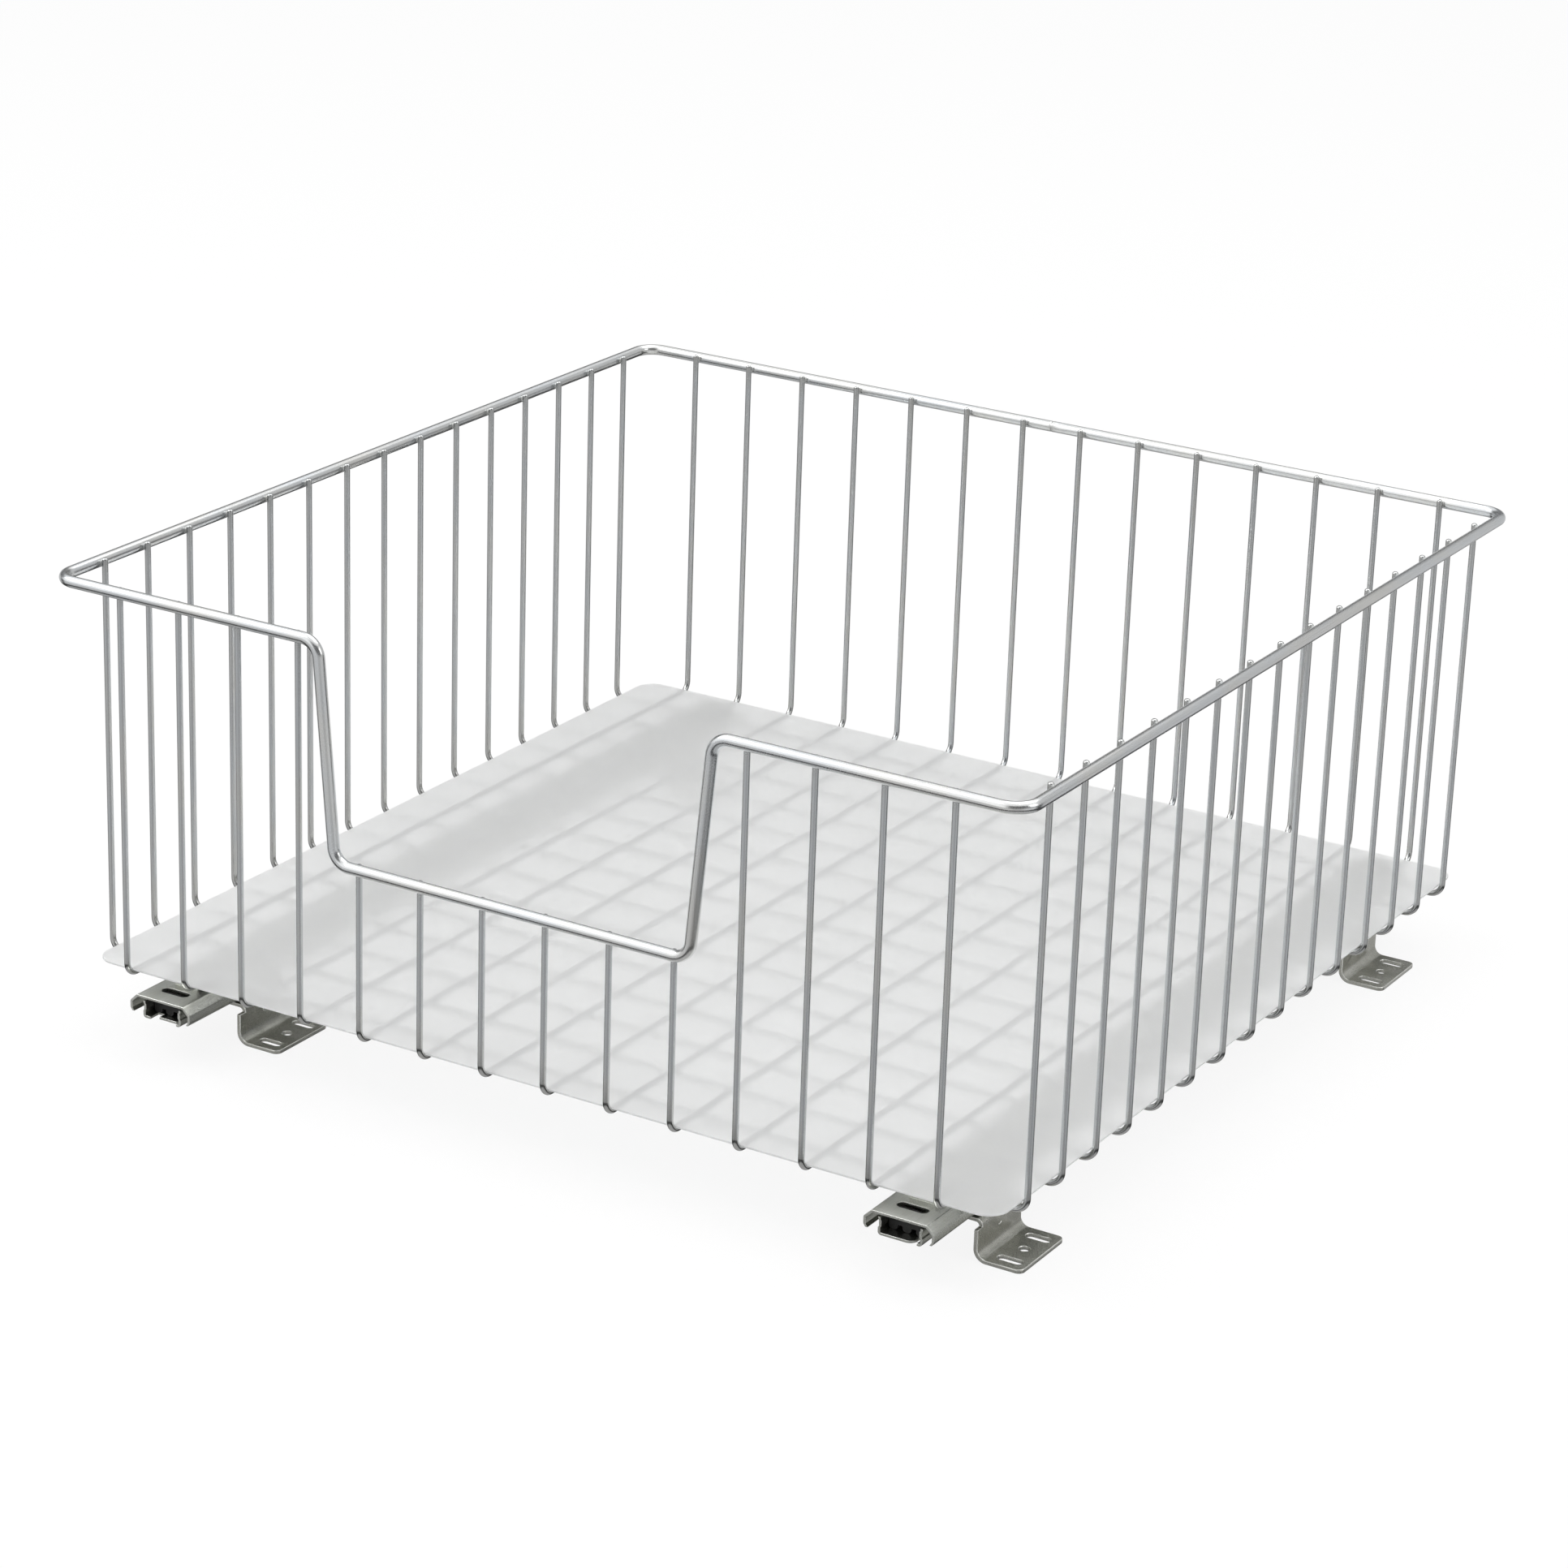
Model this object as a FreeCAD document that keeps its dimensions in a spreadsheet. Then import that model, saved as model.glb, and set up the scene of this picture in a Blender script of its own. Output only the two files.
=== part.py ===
"""Pull-out wire basket on two flat ball slides, as separate pieces.

Frame: millimetres, +Z up, X across, the front towards -Y. The origin lies on the plane
that the bracket feet stand on, in the middle of the rim both ways.
"""
import FreeCAD, Part
import math
import os

import Sketcher

OUT = "parts"

# Driving dimensions in millimetres, and counts, each with the alias of its cell.
SIZES = [
    ("rim_width", 511.0, "rim across, wire centre to wire centre"),
    ("rim_depth", 507.0, "rim front to back, wire centre to wire centre"),
    ("rim_wire", 5.7, "rim wire diameter"),
    ("rim_corner", 11.0, "centreline radius of the four corners of the rim"),
    ("wall_rise", 194.7, "rim centreline above the contact plane of the floor wires"),
    ("dip_top_half", 104.7, "half width of the front dip where it leaves the upper rail"),
    ("dip_low_half", 95.4, "half width of the front dip at the low rail"),
    ("dip_drop", 105.6, "low rail below the upper rail"),
    ("dip_bend", 9.0, "centreline radius of the bends of the dip"),
    ("dip_lap", 14.0, "upper rail beyond the dip where the two bent stretches meet"),
    ("thin_wire", 3.0, "diameter of the wall and floor wires"),
    ("long_count", 14, "number of lengthwise wires"),
    ("long_inset", 34.5, "side rail of the rim to the nearest lengthwise wire"),
    ("cross_count", 15, "number of crosswise wires"),
    ("cross_inset", 30.9, "front or back rail of the rim to the nearest crosswise wire"),
    ("floor_bend", 6.5, "centreline radius of the bend from wall to floor"),
    ("tip_rise", 2.6, "wire tips above the rim centreline at the sides and the back"),
    ("front_tip_rise", 1.1, "wire tips above the rim centreline at the front"),
    ("tip_round", 1.1, "rounding of the wire tips"),
    ("weld_gap", 0.02, "gap left where two wires are welded"),
    ("mat_sheet", 1.0, "liner mat thickness"),
    ("mat_right_gap", 0.5, "liner mat to the wires of the right wall, where it leans"),
    ("mat_left_gap", 5.4, "liner mat to the wires of the left wall"),
    ("mat_front_gap", 1.4, "liner mat to the wires of the front wall"),
    ("mat_back_gap", 4.0, "liner mat to the wires of the back wall"),
    ("mat_corner", 11.0, "liner mat corner radius"),
    ("web_level", 30.6, "top of the basket rails above the feet"),
    ("slide_inset", 54.0, "side rail of the rim to the slide centre, with the slides unshifted"),
    ("slide_shift", 5.4, "both slides to the right of the rim's middle"),
    ("rail_length", 500.0, "length of the basket rail"),
    ("rail_lead", 2.85, "rail front end ahead of the front rim centreline"),
    ("rail_sheet", 1.2, "sheet of the basket rail"),
    ("rail_width", 35.3, "outer width of the basket rail"),
    ("rail_web", 27.6, "flat top of the basket rail"),
    ("rail_shoulder", 3.8, "drop of the sloped shoulders"),
    ("rail_flange", 9.0, "overall height of the basket rail"),
    ("rail_lip", 1.6, "height of the lips that lean inwards"),
    ("rail_curl", 1.1, "inward step of those lips"),
    ("rail_round", 0.5, "inner rounding of the bends of the rails"),
    ("slide_height", 11.7, "overall height of the slide"),
    ("base_sheet", 1.2, "sheet of the base rail"),
    ("base_recess", 1.5, "base rail end behind the basket rail end"),
    ("base_head", 2.0, "basket rail web above the base rail walls"),
    ("race_step", 0.5, "depth of the ball race in the base rail walls"),
    ("race_half", 1.4, "half height of the flat of the race"),
    ("race_slope", 0.5, "height of each slope of the race"),
    ("tongue_reach", 6.8, "slide centre to the right side of the front tongue"),
    ("tongue_width", 10.1, "front tongue of the left base rail"),
    ("tongue_setback", 2.3, "end of that tongue behind the end of its rail"),
    ("tongue_round", 4.0, "rounding of the front corner of the right base rail's floor"),
    ("notch_wide", 3.6, "width of the notch at the left of the left tongue"),
    ("notch_slim", 1.6, "width of the notch at the right of each floor"),
    ("notch_depth", 6.4, "depth of those notches"),
    ("ball", 5.8, "ball diameter"),
    ("ball_gap", 0.02, "ball to each race"),
    ("ball_level", 6.1, "ball centre below the top of the slide"),
    ("ball_count", 8, "balls along each side of a cage"),
    ("ball_pitch", 14.0, "spacing of the balls"),
    ("ball_play", 0.08, "cage hole radius over the ball radius"),
    ("cage_sheet", 0.7, "sheet of the ball cage"),
    ("cage_length", 115.0, "length of the ball cage"),
    ("cage_head", 0.4, "cage below the basket rail web"),
    ("cage_skirt", 0.7, "cage below the balls"),
    ("stop_play", 0.3, "gap left at the stops"),
    ("stop_width", 12.0, "width of the stop tab of the basket rail"),
    ("stop_depth", 6.5, "stop tab below the top of the slide"),
    ("slot_across", 15.5, "length of the slot in the rail top, across the rail"),
    ("slot_along", 5.6, "width of the slot in the rail top"),
    ("slot_inset", 12.2, "slot centre behind the rail front"),
    ("hook_width", 13.4, "width of a wire hook on the rail top"),
    ("hook_sheet", 1.1, "sheet of a wire hook"),
    ("hook_arm", 12.4, "front hook riser to the centre of its cross wire"),
    ("hook_over", 3.2, "hook arm past the centre of its cross wire"),
    ("hook_play", 0.1, "hook arm above its cross wire"),
    ("hook_bend", 0.6, "inner radius of the bend of a hook"),
    ("buffer_length", 6.0, "length of a buffer"),
    ("buffer_width", 18.4, "width of a buffer"),
    ("buffer_height", 8.9, "height of a buffer"),
    ("buffer_inset", 6.0, "front buffer behind the end of the base rail"),
    ("buffer_setback", 1.9, "back buffer ahead of the end of the base rail"),
    ("lobe_width", 4.6, "width of the three lobes under a buffer"),
    ("lobe_pitch", 6.8, "spacing of those lobes"),
    ("lobe_drop", 2.6, "height of those lobes"),
    ("lobe_round", 1.9, "rounding of those lobes"),
    ("plate", 2.0, "bracket plate"),
    ("plate_length", 40.6, "bracket length along the slide"),
    ("foot_reach", 42.0, "slide centre to the free edge of the foot"),
    ("leg_reach", 17.8, "slide centre to the inner face of the leg"),
    ("flange_reach", 11.0, "slide centre to the free edge of the top flange"),
    ("flange_setback", 4.3, "top flange shorter than the leg at each end"),
    ("foot_bend", 4.4, "inner radius of the bend at the foot"),
    ("flange_bend", 1.6, "inner radius of the bend at the top flange"),
    ("plate_corner", 3.2, "corner radius of the foot"),
    ("foot_hole", 5.0, "round hole in the foot"),
    ("foot_hole_reach", 32.6, "slide centre to the holes of the foot"),
    ("foot_slot", 12.3, "length of a foot slot"),
    ("foot_slot_width", 4.8, "width of a foot slot"),
    ("foot_slot_offset", 13.0, "foot slot centre to the round hole"),
    ("leg_hole", 4.4, "hole in the leg"),
    ("leg_hole_level", 13.0, "leg hole centre above the plane of the feet"),
    ("front_inset", 56.4, "front bracket centre behind the rail front"),
    ("back_inset", 63.6, "back bracket centre ahead of the rail back"),
    ("rivet_shank", 4.0, "rivet shank diameter"),
    ("rivet_head", 7.4, "rivet head diameter"),
    ("rivet_dome", 1.3, "rivet head height"),
    ("rivet_crown", 5.2, "flat top of the rivet head"),
    ("rivet_foot", 0.9, "closing head height"),
    ("rivet_foot_width", 5.8, "closing head diameter at the plate"),
    ("rivet_foot_tip", 4.6, "closing head diameter at its end"),
    ("rivet_spacing", 22.0, "rivet to rivet on a bracket"),
    ("rivet_play", 0.05, "rivet hole radius over the shank radius"),
]

# The inner corner of a sheet bent by 45 degrees lies this share of its thickness inwards.
HALF_BEND = math.tan(math.pi / 8)

# Sketch indices: the origin's shape, and the places on a shape.
ROOT_INDEX = -1
START_INDEX = 1
END_INDEX = 2
CENTRE_INDEX = 3

# Two points count as the same corner within this distance.
NEAR = 0.01

# Cuts at an end run this far past the metal.
CUT_OVER = 1.0


class Term:
    """A size as a number together with the sheet expression that gives it."""

    def __init__(self, value, text):
        self.value = value
        self.text = text

    def _join(self, sign, other, value):
        """Return the term that joins this one and the other with a sign."""
        return Term(value, "(%s %s %s)" % (self.text, sign, other.text))

    def __add__(self, other):
        other = term(other)
        return self._join("+", other, self.value + other.value)

    def __sub__(self, other):
        other = term(other)
        return self._join("-", other, self.value - other.value)

    def __mul__(self, other):
        other = term(other)
        return self._join("*", other, self.value * other.value)

    def __truediv__(self, other):
        other = term(other)
        return self._join("/", other, self.value / other.value)

    def __neg__(self):
        return Term(-self.value, "(0 - %s)" % self.text)

    def whole(self):
        """Return the largest whole number that isn't above this term."""
        return Term(float(math.floor(self.value)), "floor(%s)" % self.text)

    def at_most(self, other):
        """Return the smaller of this term and the other."""
        return Term(min(self.value, other.value), "min(%s; %s)" % (self.text, other.text))


def term(thing):
    """Return the thing as a term; a plain number becomes a constant."""
    if isinstance(thing, Term):
        return thing
    return Term(float(thing), "%.9f" % float(thing))


doc = FreeCAD.newDocument("WireBasket")


def make_sheet():
    """Write the driving dimensions into the sheet and return its terms by alias."""
    sheet = doc.addObject("Spreadsheet::Sheet", "Sizes")
    for row, (alias, value, note) in enumerate(SIZES, start=1):
        sheet.set("A%d" % row, note)
        sheet.set("B%d" % row, str(value))
        sheet.setAlias("B%d" % row, alias)
    doc.recompute()
    return {alias: Term(float(sheet.get(alias)), "Sizes.%s" % alias) for alias, _, _ in SIZES}


S = make_sheet()

# Levels above the feet, from the bottom of the stack to its top.
BASE_LEVEL = S["web_level"] - S["slide_height"]
BASE_FLOOR = BASE_LEVEL + S["base_sheet"]
WEB_UNDER = S["web_level"] - S["rail_sheet"]
WALL_TOP = WEB_UNDER - S["base_head"]
BALL_LEVEL = S["web_level"] - S["ball_level"]
CROSS_LEVEL = S["web_level"] + S["weld_gap"] + S["thin_wire"] / 2
LONG_LEVEL = CROSS_LEVEL + S["thin_wire"] + S["weld_gap"]
FLOOR_LEVEL = (CROSS_LEVEL + LONG_LEVEL) / 2
MAT_LEVEL = LONG_LEVEL + S["thin_wire"] / 2 + S["weld_gap"]
HOOK_LEVEL = CROSS_LEVEL + S["thin_wire"] / 2 + S["hook_play"]
RIM_LEVEL = FLOOR_LEVEL + S["wall_rise"]
LOW_LEVEL = RIM_LEVEL - S["dip_drop"]
TIP_LEVEL = RIM_LEVEL + S["tip_rise"]
FRONT_TIP_LEVEL = RIM_LEVEL + S["front_tip_rise"]
LOW_TIP_LEVEL = LOW_LEVEL + S["front_tip_rise"]

# Plan positions of the basket.
RIM_X = S["rim_width"] / 2
RIM_Y = S["rim_depth"] / 2
WIRE_STEP = S["rim_wire"] / 2 + S["thin_wire"] / 2 + S["weld_gap"]
LEG_X = RIM_X - WIRE_STEP
LEG_Y = RIM_Y - WIRE_STEP
WALL_X = LEG_X - S["thin_wire"] / 2
WALL_Y = LEG_Y - S["thin_wire"] / 2
LONG_PITCH = (S["rim_width"] - S["long_inset"] * 2) / (S["long_count"] - 1)
CROSS_PITCH = (S["rim_depth"] - S["cross_inset"] * 2) / (S["cross_count"] - 1)
FRONT_WIRE = S["cross_inset"] - RIM_Y

# Positions along and across a slide.
SLIDE_X = RIM_X - S["slide_inset"]
RAIL_FRONT = -(RIM_Y + S["rail_lead"])
RAIL_BACK = RAIL_FRONT + S["rail_length"]
BASE_FRONT = RAIL_FRONT + S["base_recess"]
BASE_BACK = RAIL_BACK - S["base_recess"]

# The last crosswise wire that the hook at the end of the rail can reach over.
HOOK_ROOM = S["hook_sheet"] + S["hook_bend"] + S["thin_wire"] / 2 + S["hook_play"]
WIRES_AHEAD = ((RAIL_BACK - HOOK_ROOM - FRONT_WIRE) / CROSS_PITCH).whole()
BACK_WIRE = FRONT_WIRE + CROSS_PITCH * WIRES_AHEAD.at_most(S["cross_count"] - 1)

# The stops: buffers at the ends of the base rail leave the cage half the basket's travel.
FRONT_BUFFER = BASE_FRONT + S["buffer_inset"]
BACK_BUFFER = BASE_BACK - S["buffer_setback"] - S["buffer_length"]
STOP_BACK = BACK_BUFFER - S["stop_play"]
STOP_FACE = STOP_BACK - S["rail_sheet"]
CAGE_ROOM = STOP_FACE - FRONT_BUFFER - S["buffer_length"] - S["stop_play"] * 2
TRAVEL = CAGE_ROOM - S["cage_length"]
CAGE_FRONT = FRONT_BUFFER + S["buffer_length"] + S["stop_play"] + TRAVEL / 2
CAGE_BACK = CAGE_FRONT + S["cage_length"]
BRACKET_FRONT = RAIL_FRONT + S["front_inset"]
BRACKET_BACK = RAIL_BACK - S["back_inset"]
FLANGE_IN = S["rail_width"] / 2 - S["rail_sheet"]
BALL_REACH = FLANGE_IN - S["ball_gap"] - S["ball"] / 2
RACE_REACH = BALL_REACH - S["ball"] / 2 - S["ball_gap"]
WALL_REACH = RACE_REACH + S["race_step"]


def new_body(name):
    """Return a new body whose label names its file."""
    body = doc.addObject("PartDesign::Body", name)
    body.Label = name
    return body


def place(body, axis, distance):
    """Move a body along one axis by a term."""
    base = {"x": 0.0, "y": 0.0, "z": 0.0}
    base[axis] = distance.value
    body.Placement = FreeCAD.Placement(FreeCAD.Vector(*base.values()), FreeCAD.Rotation())
    body.setExpression("Placement.Base.%s" % axis, distance.text)


def new_sketch(body, role, name, lift=None):
    """Return a sketch on one of the body's origin planes, lifted off it by a term."""
    sketch = body.newObject("Sketcher::SketchObject", "%s_%s" % (body.Name, name))
    planes = [feature for feature in body.Origin.OriginFeatures if feature.Role == role]
    sketch.AttachmentSupport = [(planes[0], "")]
    sketch.MapMode = "FlatFace"
    if lift is not None:
        sketch.AttachmentOffset = FreeCAD.Placement(
            FreeCAD.Vector(0, 0, lift.value), FreeCAD.Rotation())
        sketch.setExpression("AttachmentOffset.Base.z", lift.text)
    return sketch


def bind(sketch, kind, numbers, size):
    """Add a dimension to the sketch and bind it to the size's expression."""
    index = sketch.addConstraint(Sketcher.Constraint(kind, *numbers, size.value))
    sketch.setExpression("Constraints[%d]" % index, size.text)


def fix_point(sketch, number, spot, point):
    """Hold one point of a shape at its terms from the sketch's origin."""
    bind(sketch, "DistanceX", (ROOT_INDEX, START_INDEX, number, spot), term(point[0]))
    bind(sketch, "DistanceY", (ROOT_INDEX, START_INDEX, number, spot), term(point[1]))


def join_ends(sketch, kind, before, after):
    """Hold the end of one shape to the start of the next."""
    sketch.addConstraint(Sketcher.Constraint(kind, before, END_INDEX, after, START_INDEX))


def flat(point):
    """Return the sketch vector of a point of terms."""
    return FreeCAD.Vector(term(point[0]).value, term(point[1]).value, 0)


def add_polygon(sketch, points):
    """Draw a closed outline with straight sides through points of terms."""
    first = sketch.GeometryCount
    count = len(points)
    for index, point in enumerate(points):
        sketch.addGeometry(Part.LineSegment(flat(point), flat(points[(index + 1) % count])), False)
    for index, point in enumerate(points):
        before = first + (index - 1) % count
        join_ends(sketch, "Coincident", before, first + index)
        fix_point(sketch, first + index, START_INDEX, point)


def add_box(sketch, low, high):
    """Draw a rectangle between two opposite corners of terms."""
    add_polygon(sketch, [low, (high[0], low[1]), high, (low[0], high[1])])


def add_circle(sketch, centre, radius):
    """Draw a circle at a point of terms."""
    shape = Part.Circle(flat(centre), FreeCAD.Vector(0, 0, 1), radius.value)
    number = sketch.addGeometry(shape, False)
    bind(sketch, "Radius", (number,), radius)
    fix_point(sketch, number, CENTRE_INDEX, centre)


def arc_about(centre, radius, start, sweep):
    """Return the arc round a centre from an angle, counterclockwise through a sweep."""
    circle = Part.Circle(centre, FreeCAD.Vector(0, 0, 1), radius)
    return Part.ArcOfCircle(circle, start, start + sweep)


def add_slot(sketch, centre, length, width):
    """Draw a slot with round ends that runs along the sketch's x axis."""
    radius = width / 2
    left = (centre[0] - (length - width) / 2, centre[1])
    right = (centre[0] + (length - width) / 2, centre[1])
    up = FreeCAD.Vector(0, radius.value, 0)
    first = sketch.GeometryCount
    sketch.addGeometry(Part.LineSegment(flat(right) + up, flat(left) + up), False)
    sketch.addGeometry(arc_about(flat(left), radius.value, math.pi / 2, math.pi), False)
    sketch.addGeometry(Part.LineSegment(flat(left) - up, flat(right) - up), False)
    sketch.addGeometry(arc_about(flat(right), radius.value, -math.pi / 2, math.pi), False)
    for index in range(4):
        after = first + (index + 1) % 4
        join_ends(sketch, "Tangent", first + index, after)
    bind(sketch, "Radius", (first + 1,), radius)
    fix_point(sketch, first + 1, CENTRE_INDEX, left)
    bind(sketch, "DistanceX", (ROOT_INDEX, START_INDEX, first + 3, CENTRE_INDEX), term(right[0]))


def add_path(sketch, points, radius):
    """Draw an open path through points of terms, with a tangent arc at each inner point."""
    spots = [flat(point) for point in points]
    runs = [(after - before).normalize() for before, after in zip(spots, spots[1:])]
    trims = [radius.value * math.tan(a.getAngle(b) / 2) for a, b in zip(runs, runs[1:])]
    starts = [0.0] + trims
    ends = trims + [0.0]
    lines = []
    for index, run in enumerate(runs):
        low = spots[index] + run * starts[index]
        high = spots[index + 1] - run * ends[index]
        lines.append(sketch.addGeometry(Part.LineSegment(low, high), False))
    for index in range(len(runs) - 1):
        low = spots[index + 1] - runs[index] * trims[index]
        add_bend(sketch, (lines[index], lines[index + 1]), low, (runs[index], runs[index + 1]), radius)
        corner = sketch.addGeometry(Part.Point(spots[index + 1]), True)
        fix_point(sketch, corner, START_INDEX, points[index + 1])
        sketch.addConstraint(Sketcher.Constraint("PointOnObject", corner, START_INDEX, lines[index]))
        sketch.addConstraint(Sketcher.Constraint("PointOnObject", corner, START_INDEX, lines[index + 1]))
    fix_point(sketch, lines[0], START_INDEX, points[0])
    fix_point(sketch, lines[-1], END_INDEX, points[-1])


def add_bend(sketch, lines, low, runs, radius):
    """Join two lines with an arc that leaves the first at its end, tangent to both."""
    left_turn = runs[0].cross(runs[1]).z > 0
    side = FreeCAD.Vector(-runs[0].y, runs[0].x, 0) * (1 if left_turn else -1)
    centre = low + side * radius.value
    sweep = runs[0].getAngle(runs[1])
    start = math.atan2(-side.y, -side.x)
    if not left_turn:
        start -= sweep
    arc = sketch.addGeometry(arc_about(centre, radius.value, start, sweep), False)
    near, far = (START_INDEX, END_INDEX) if left_turn else (END_INDEX, START_INDEX)
    sketch.addConstraint(Sketcher.Constraint("Tangent", lines[0], END_INDEX, arc, near))
    sketch.addConstraint(Sketcher.Constraint("Tangent", arc, far, lines[1], START_INDEX))
    bind(sketch, "Radius", (arc,), radius)


def pad(body, sketch, length, name="pad", reverse=False, centred=False):
    """Pad a sketch by a term and return the feature."""
    feature = body.newObject("PartDesign::Pad", "%s_%s" % (body.Name, name))
    feature.Profile = sketch
    feature.Length = length.value
    feature.setExpression("Length", length.text)
    feature.Reversed = reverse
    if centred:
        feature.SideType = "Symmetric"
    doc.recompute()
    return feature


def cut_through(body, sketch, name, depth=None, reverse=False, both=False):
    """Cut a sketch out of the body and return the feature; it has to take metal away."""
    before = body.Shape.Volume
    feature = body.newObject("PartDesign::Pocket", "%s_%s" % (body.Name, name))
    feature.Profile = sketch
    if depth is None:
        feature.Type = "ThroughAll"
    else:
        feature.Length = depth.value
        feature.setExpression("Length", depth.text)
    feature.Reversed = reverse
    if both:
        feature.SideType = "Symmetric"
    doc.recompute()
    if body.Shape.Volume > before - NEAR:
        raise ValueError("%s cuts nothing" % feature.Name)
    return feature


def pipe(body, name, profile, spine):
    """Sweep a profile along a spine and return the feature."""
    feature = body.newObject("PartDesign::AdditivePipe", "%s_%s" % (body.Name, name))
    feature.Profile = profile
    feature.Spine = (spine, [])
    doc.recompute()
    return feature


def round_edges(body, names, radius, name):
    """Round named edges of the body's tip by a term."""
    base = body.Tip
    feature = body.newObject("PartDesign::Fillet", "%s_%s" % (body.Name, name))
    feature.Base = (base, names)
    feature.Radius = radius.value
    feature.setExpression("Radius", radius.text)
    doc.recompute()
    return feature


def edges_where(feature, test):
    """Return the names of the feature's edges whose middle passes a test."""
    names = []
    for index, edge in enumerate(feature.Shape.Edges, start=1):
        middle = edge.valueAt((edge.FirstParameter + edge.LastParameter) / 2)
        if test(edge, middle):
            names.append("Edge%d" % index)
    return names


def runs_along(edge, axis):
    """Tell whether an edge is a straight line along an axis."""
    if not isinstance(edge.Curve, Part.Line):
        return False
    return abs(abs(getattr(edge.Curve.Direction, axis)) - 1) < NEAR


def at_points(points, axis="y"):
    """Return a test for straight edges along an axis through section points of terms."""
    spots = [(term(flat_way).value, term(up).value) for flat_way, up in points]
    across = "x" if axis == "y" else "y"

    def test(edge, middle):
        """Tell whether the edge runs along the axis through one of the points."""
        if not runs_along(edge, axis):
            return False
        here = getattr(middle, across)
        return any(math.hypot(here - a, middle.z - z) < NEAR for a, z in spots)

    return test


def mirrored(points):
    """Return section points on the right followed by the same on the left, in reverse."""
    return points + [(-term(x), z) for x, z in reversed(points)]


def both_sides(points):
    """Return section points on both sides of the slide's middle."""
    return [(side, z) for x, z in points for side in (term(x), -term(x))]


# The wire basket: rim, wires and liner mat.

def make_rim():
    """Rim wire: a flat loop, open at the front, closed by the bent dip."""
    body = new_body("rim_frame")
    gap = S["dip_top_half"] + S["dip_lap"]
    radius = S["rim_wire"] / 2
    loop = new_sketch(body, "XY_Plane", "loop", RIM_LEVEL)
    corners = [(-gap, -RIM_Y), (-RIM_X, -RIM_Y), (-RIM_X, RIM_Y), (RIM_X, RIM_Y),
               (RIM_X, -RIM_Y), (gap, -RIM_Y)]
    add_path(loop, corners, S["rim_corner"])
    loop_end = new_sketch(body, "YZ_Plane", "loop_end", -gap)
    add_circle(loop_end, (-RIM_Y, RIM_LEVEL), radius)
    pipe(body, "upper", loop_end, loop)
    dip = new_sketch(body, "XZ_Plane", "dip", RIM_Y)
    bends = [(-gap, RIM_LEVEL), (-S["dip_top_half"], RIM_LEVEL), (-S["dip_low_half"], LOW_LEVEL),
             (S["dip_low_half"], LOW_LEVEL), (S["dip_top_half"], RIM_LEVEL), (gap, RIM_LEVEL)]
    add_path(dip, bends, S["dip_bend"])
    dip_end = new_sketch(body, "YZ_Plane", "dip_end", -gap)
    add_circle(dip_end, (-RIM_Y, RIM_LEVEL), radius)
    pipe(body, "dip_run", dip_end, dip)
    return body


def make_wire(name, role, path, seat):
    """One thin wire: down the first wall, along the floor and up the other wall."""
    body = new_body(name)
    spine = new_sketch(body, role, "spine")
    add_path(spine, path, S["floor_bend"])
    profile = new_sketch(body, "XY_Plane", "profile", path[0][1])
    start = (term(0), path[0][0]) if role == "YZ_Plane" else (path[0][0], term(0))
    add_circle(profile, start, S["thin_wire"] / 2)
    run = pipe(body, "run", profile, spine)
    tips = [path[0][1].value, path[-1][1].value]
    names = edges_where(run, lambda edge, middle: is_tip(edge, tips))
    round_edges(body, names, S["tip_round"], "tips")
    place(body, *seat)
    return body


def is_tip(edge, levels):
    """Tell whether an edge is the circle at a wire's end."""
    if not isinstance(edge.Curve, Part.Circle):
        return False
    box = edge.BoundBox
    return box.ZLength < NEAR and any(abs(box.ZMax - level) < NEAR for level in levels)


def make_long_wires():
    """Lengthwise wires: those under the dip end at the low rail."""
    wires = []
    count = int(S["long_count"].value)
    for index in range(count):
        across = LONG_PITCH * (index - (count - 1) / 2)
        in_dip = abs(across.value) < S["dip_low_half"].value
        front_tip = LOW_TIP_LEVEL if in_dip else FRONT_TIP_LEVEL
        path = [(-LEG_Y, front_tip), (-LEG_Y, LONG_LEVEL), (LEG_Y, LONG_LEVEL), (LEG_Y, TIP_LEVEL)]
        wires.append(make_wire("long_wire_%02d" % (index + 1), "YZ_Plane", path, ("x", across)))
    return wires


def make_cross_wires():
    """Crosswise wires, under the lengthwise ones."""
    wires = []
    for index in range(int(S["cross_count"].value)):
        along = FRONT_WIRE + CROSS_PITCH * index
        path = [(-LEG_X, TIP_LEVEL), (-LEG_X, CROSS_LEVEL), (LEG_X, CROSS_LEVEL), (LEG_X, TIP_LEVEL)]
        wires.append(make_wire("cross_wire_%02d" % (index + 1), "XZ_Plane", path, ("y", along)))
    return wires


def make_mat():
    """Liner mat: a loose sheet with round corners on the lengthwise wires."""
    body = new_body("liner_mat")
    outline = new_sketch(body, "XY_Plane", "outline", MAT_LEVEL)
    low = (S["mat_left_gap"] - WALL_X, S["mat_front_gap"] - WALL_Y)
    high = (WALL_X - S["mat_right_gap"], WALL_Y - S["mat_back_gap"])
    add_box(outline, low, high)
    sheet = pad(body, outline, S["mat_sheet"])
    names = edges_where(sheet, lambda edge, middle: runs_along(edge, "z"))
    round_edges(body, names, S["mat_corner"], "corners")
    return body


# The slides: basket rail, base rail, ball cage, balls and buffers.

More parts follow.
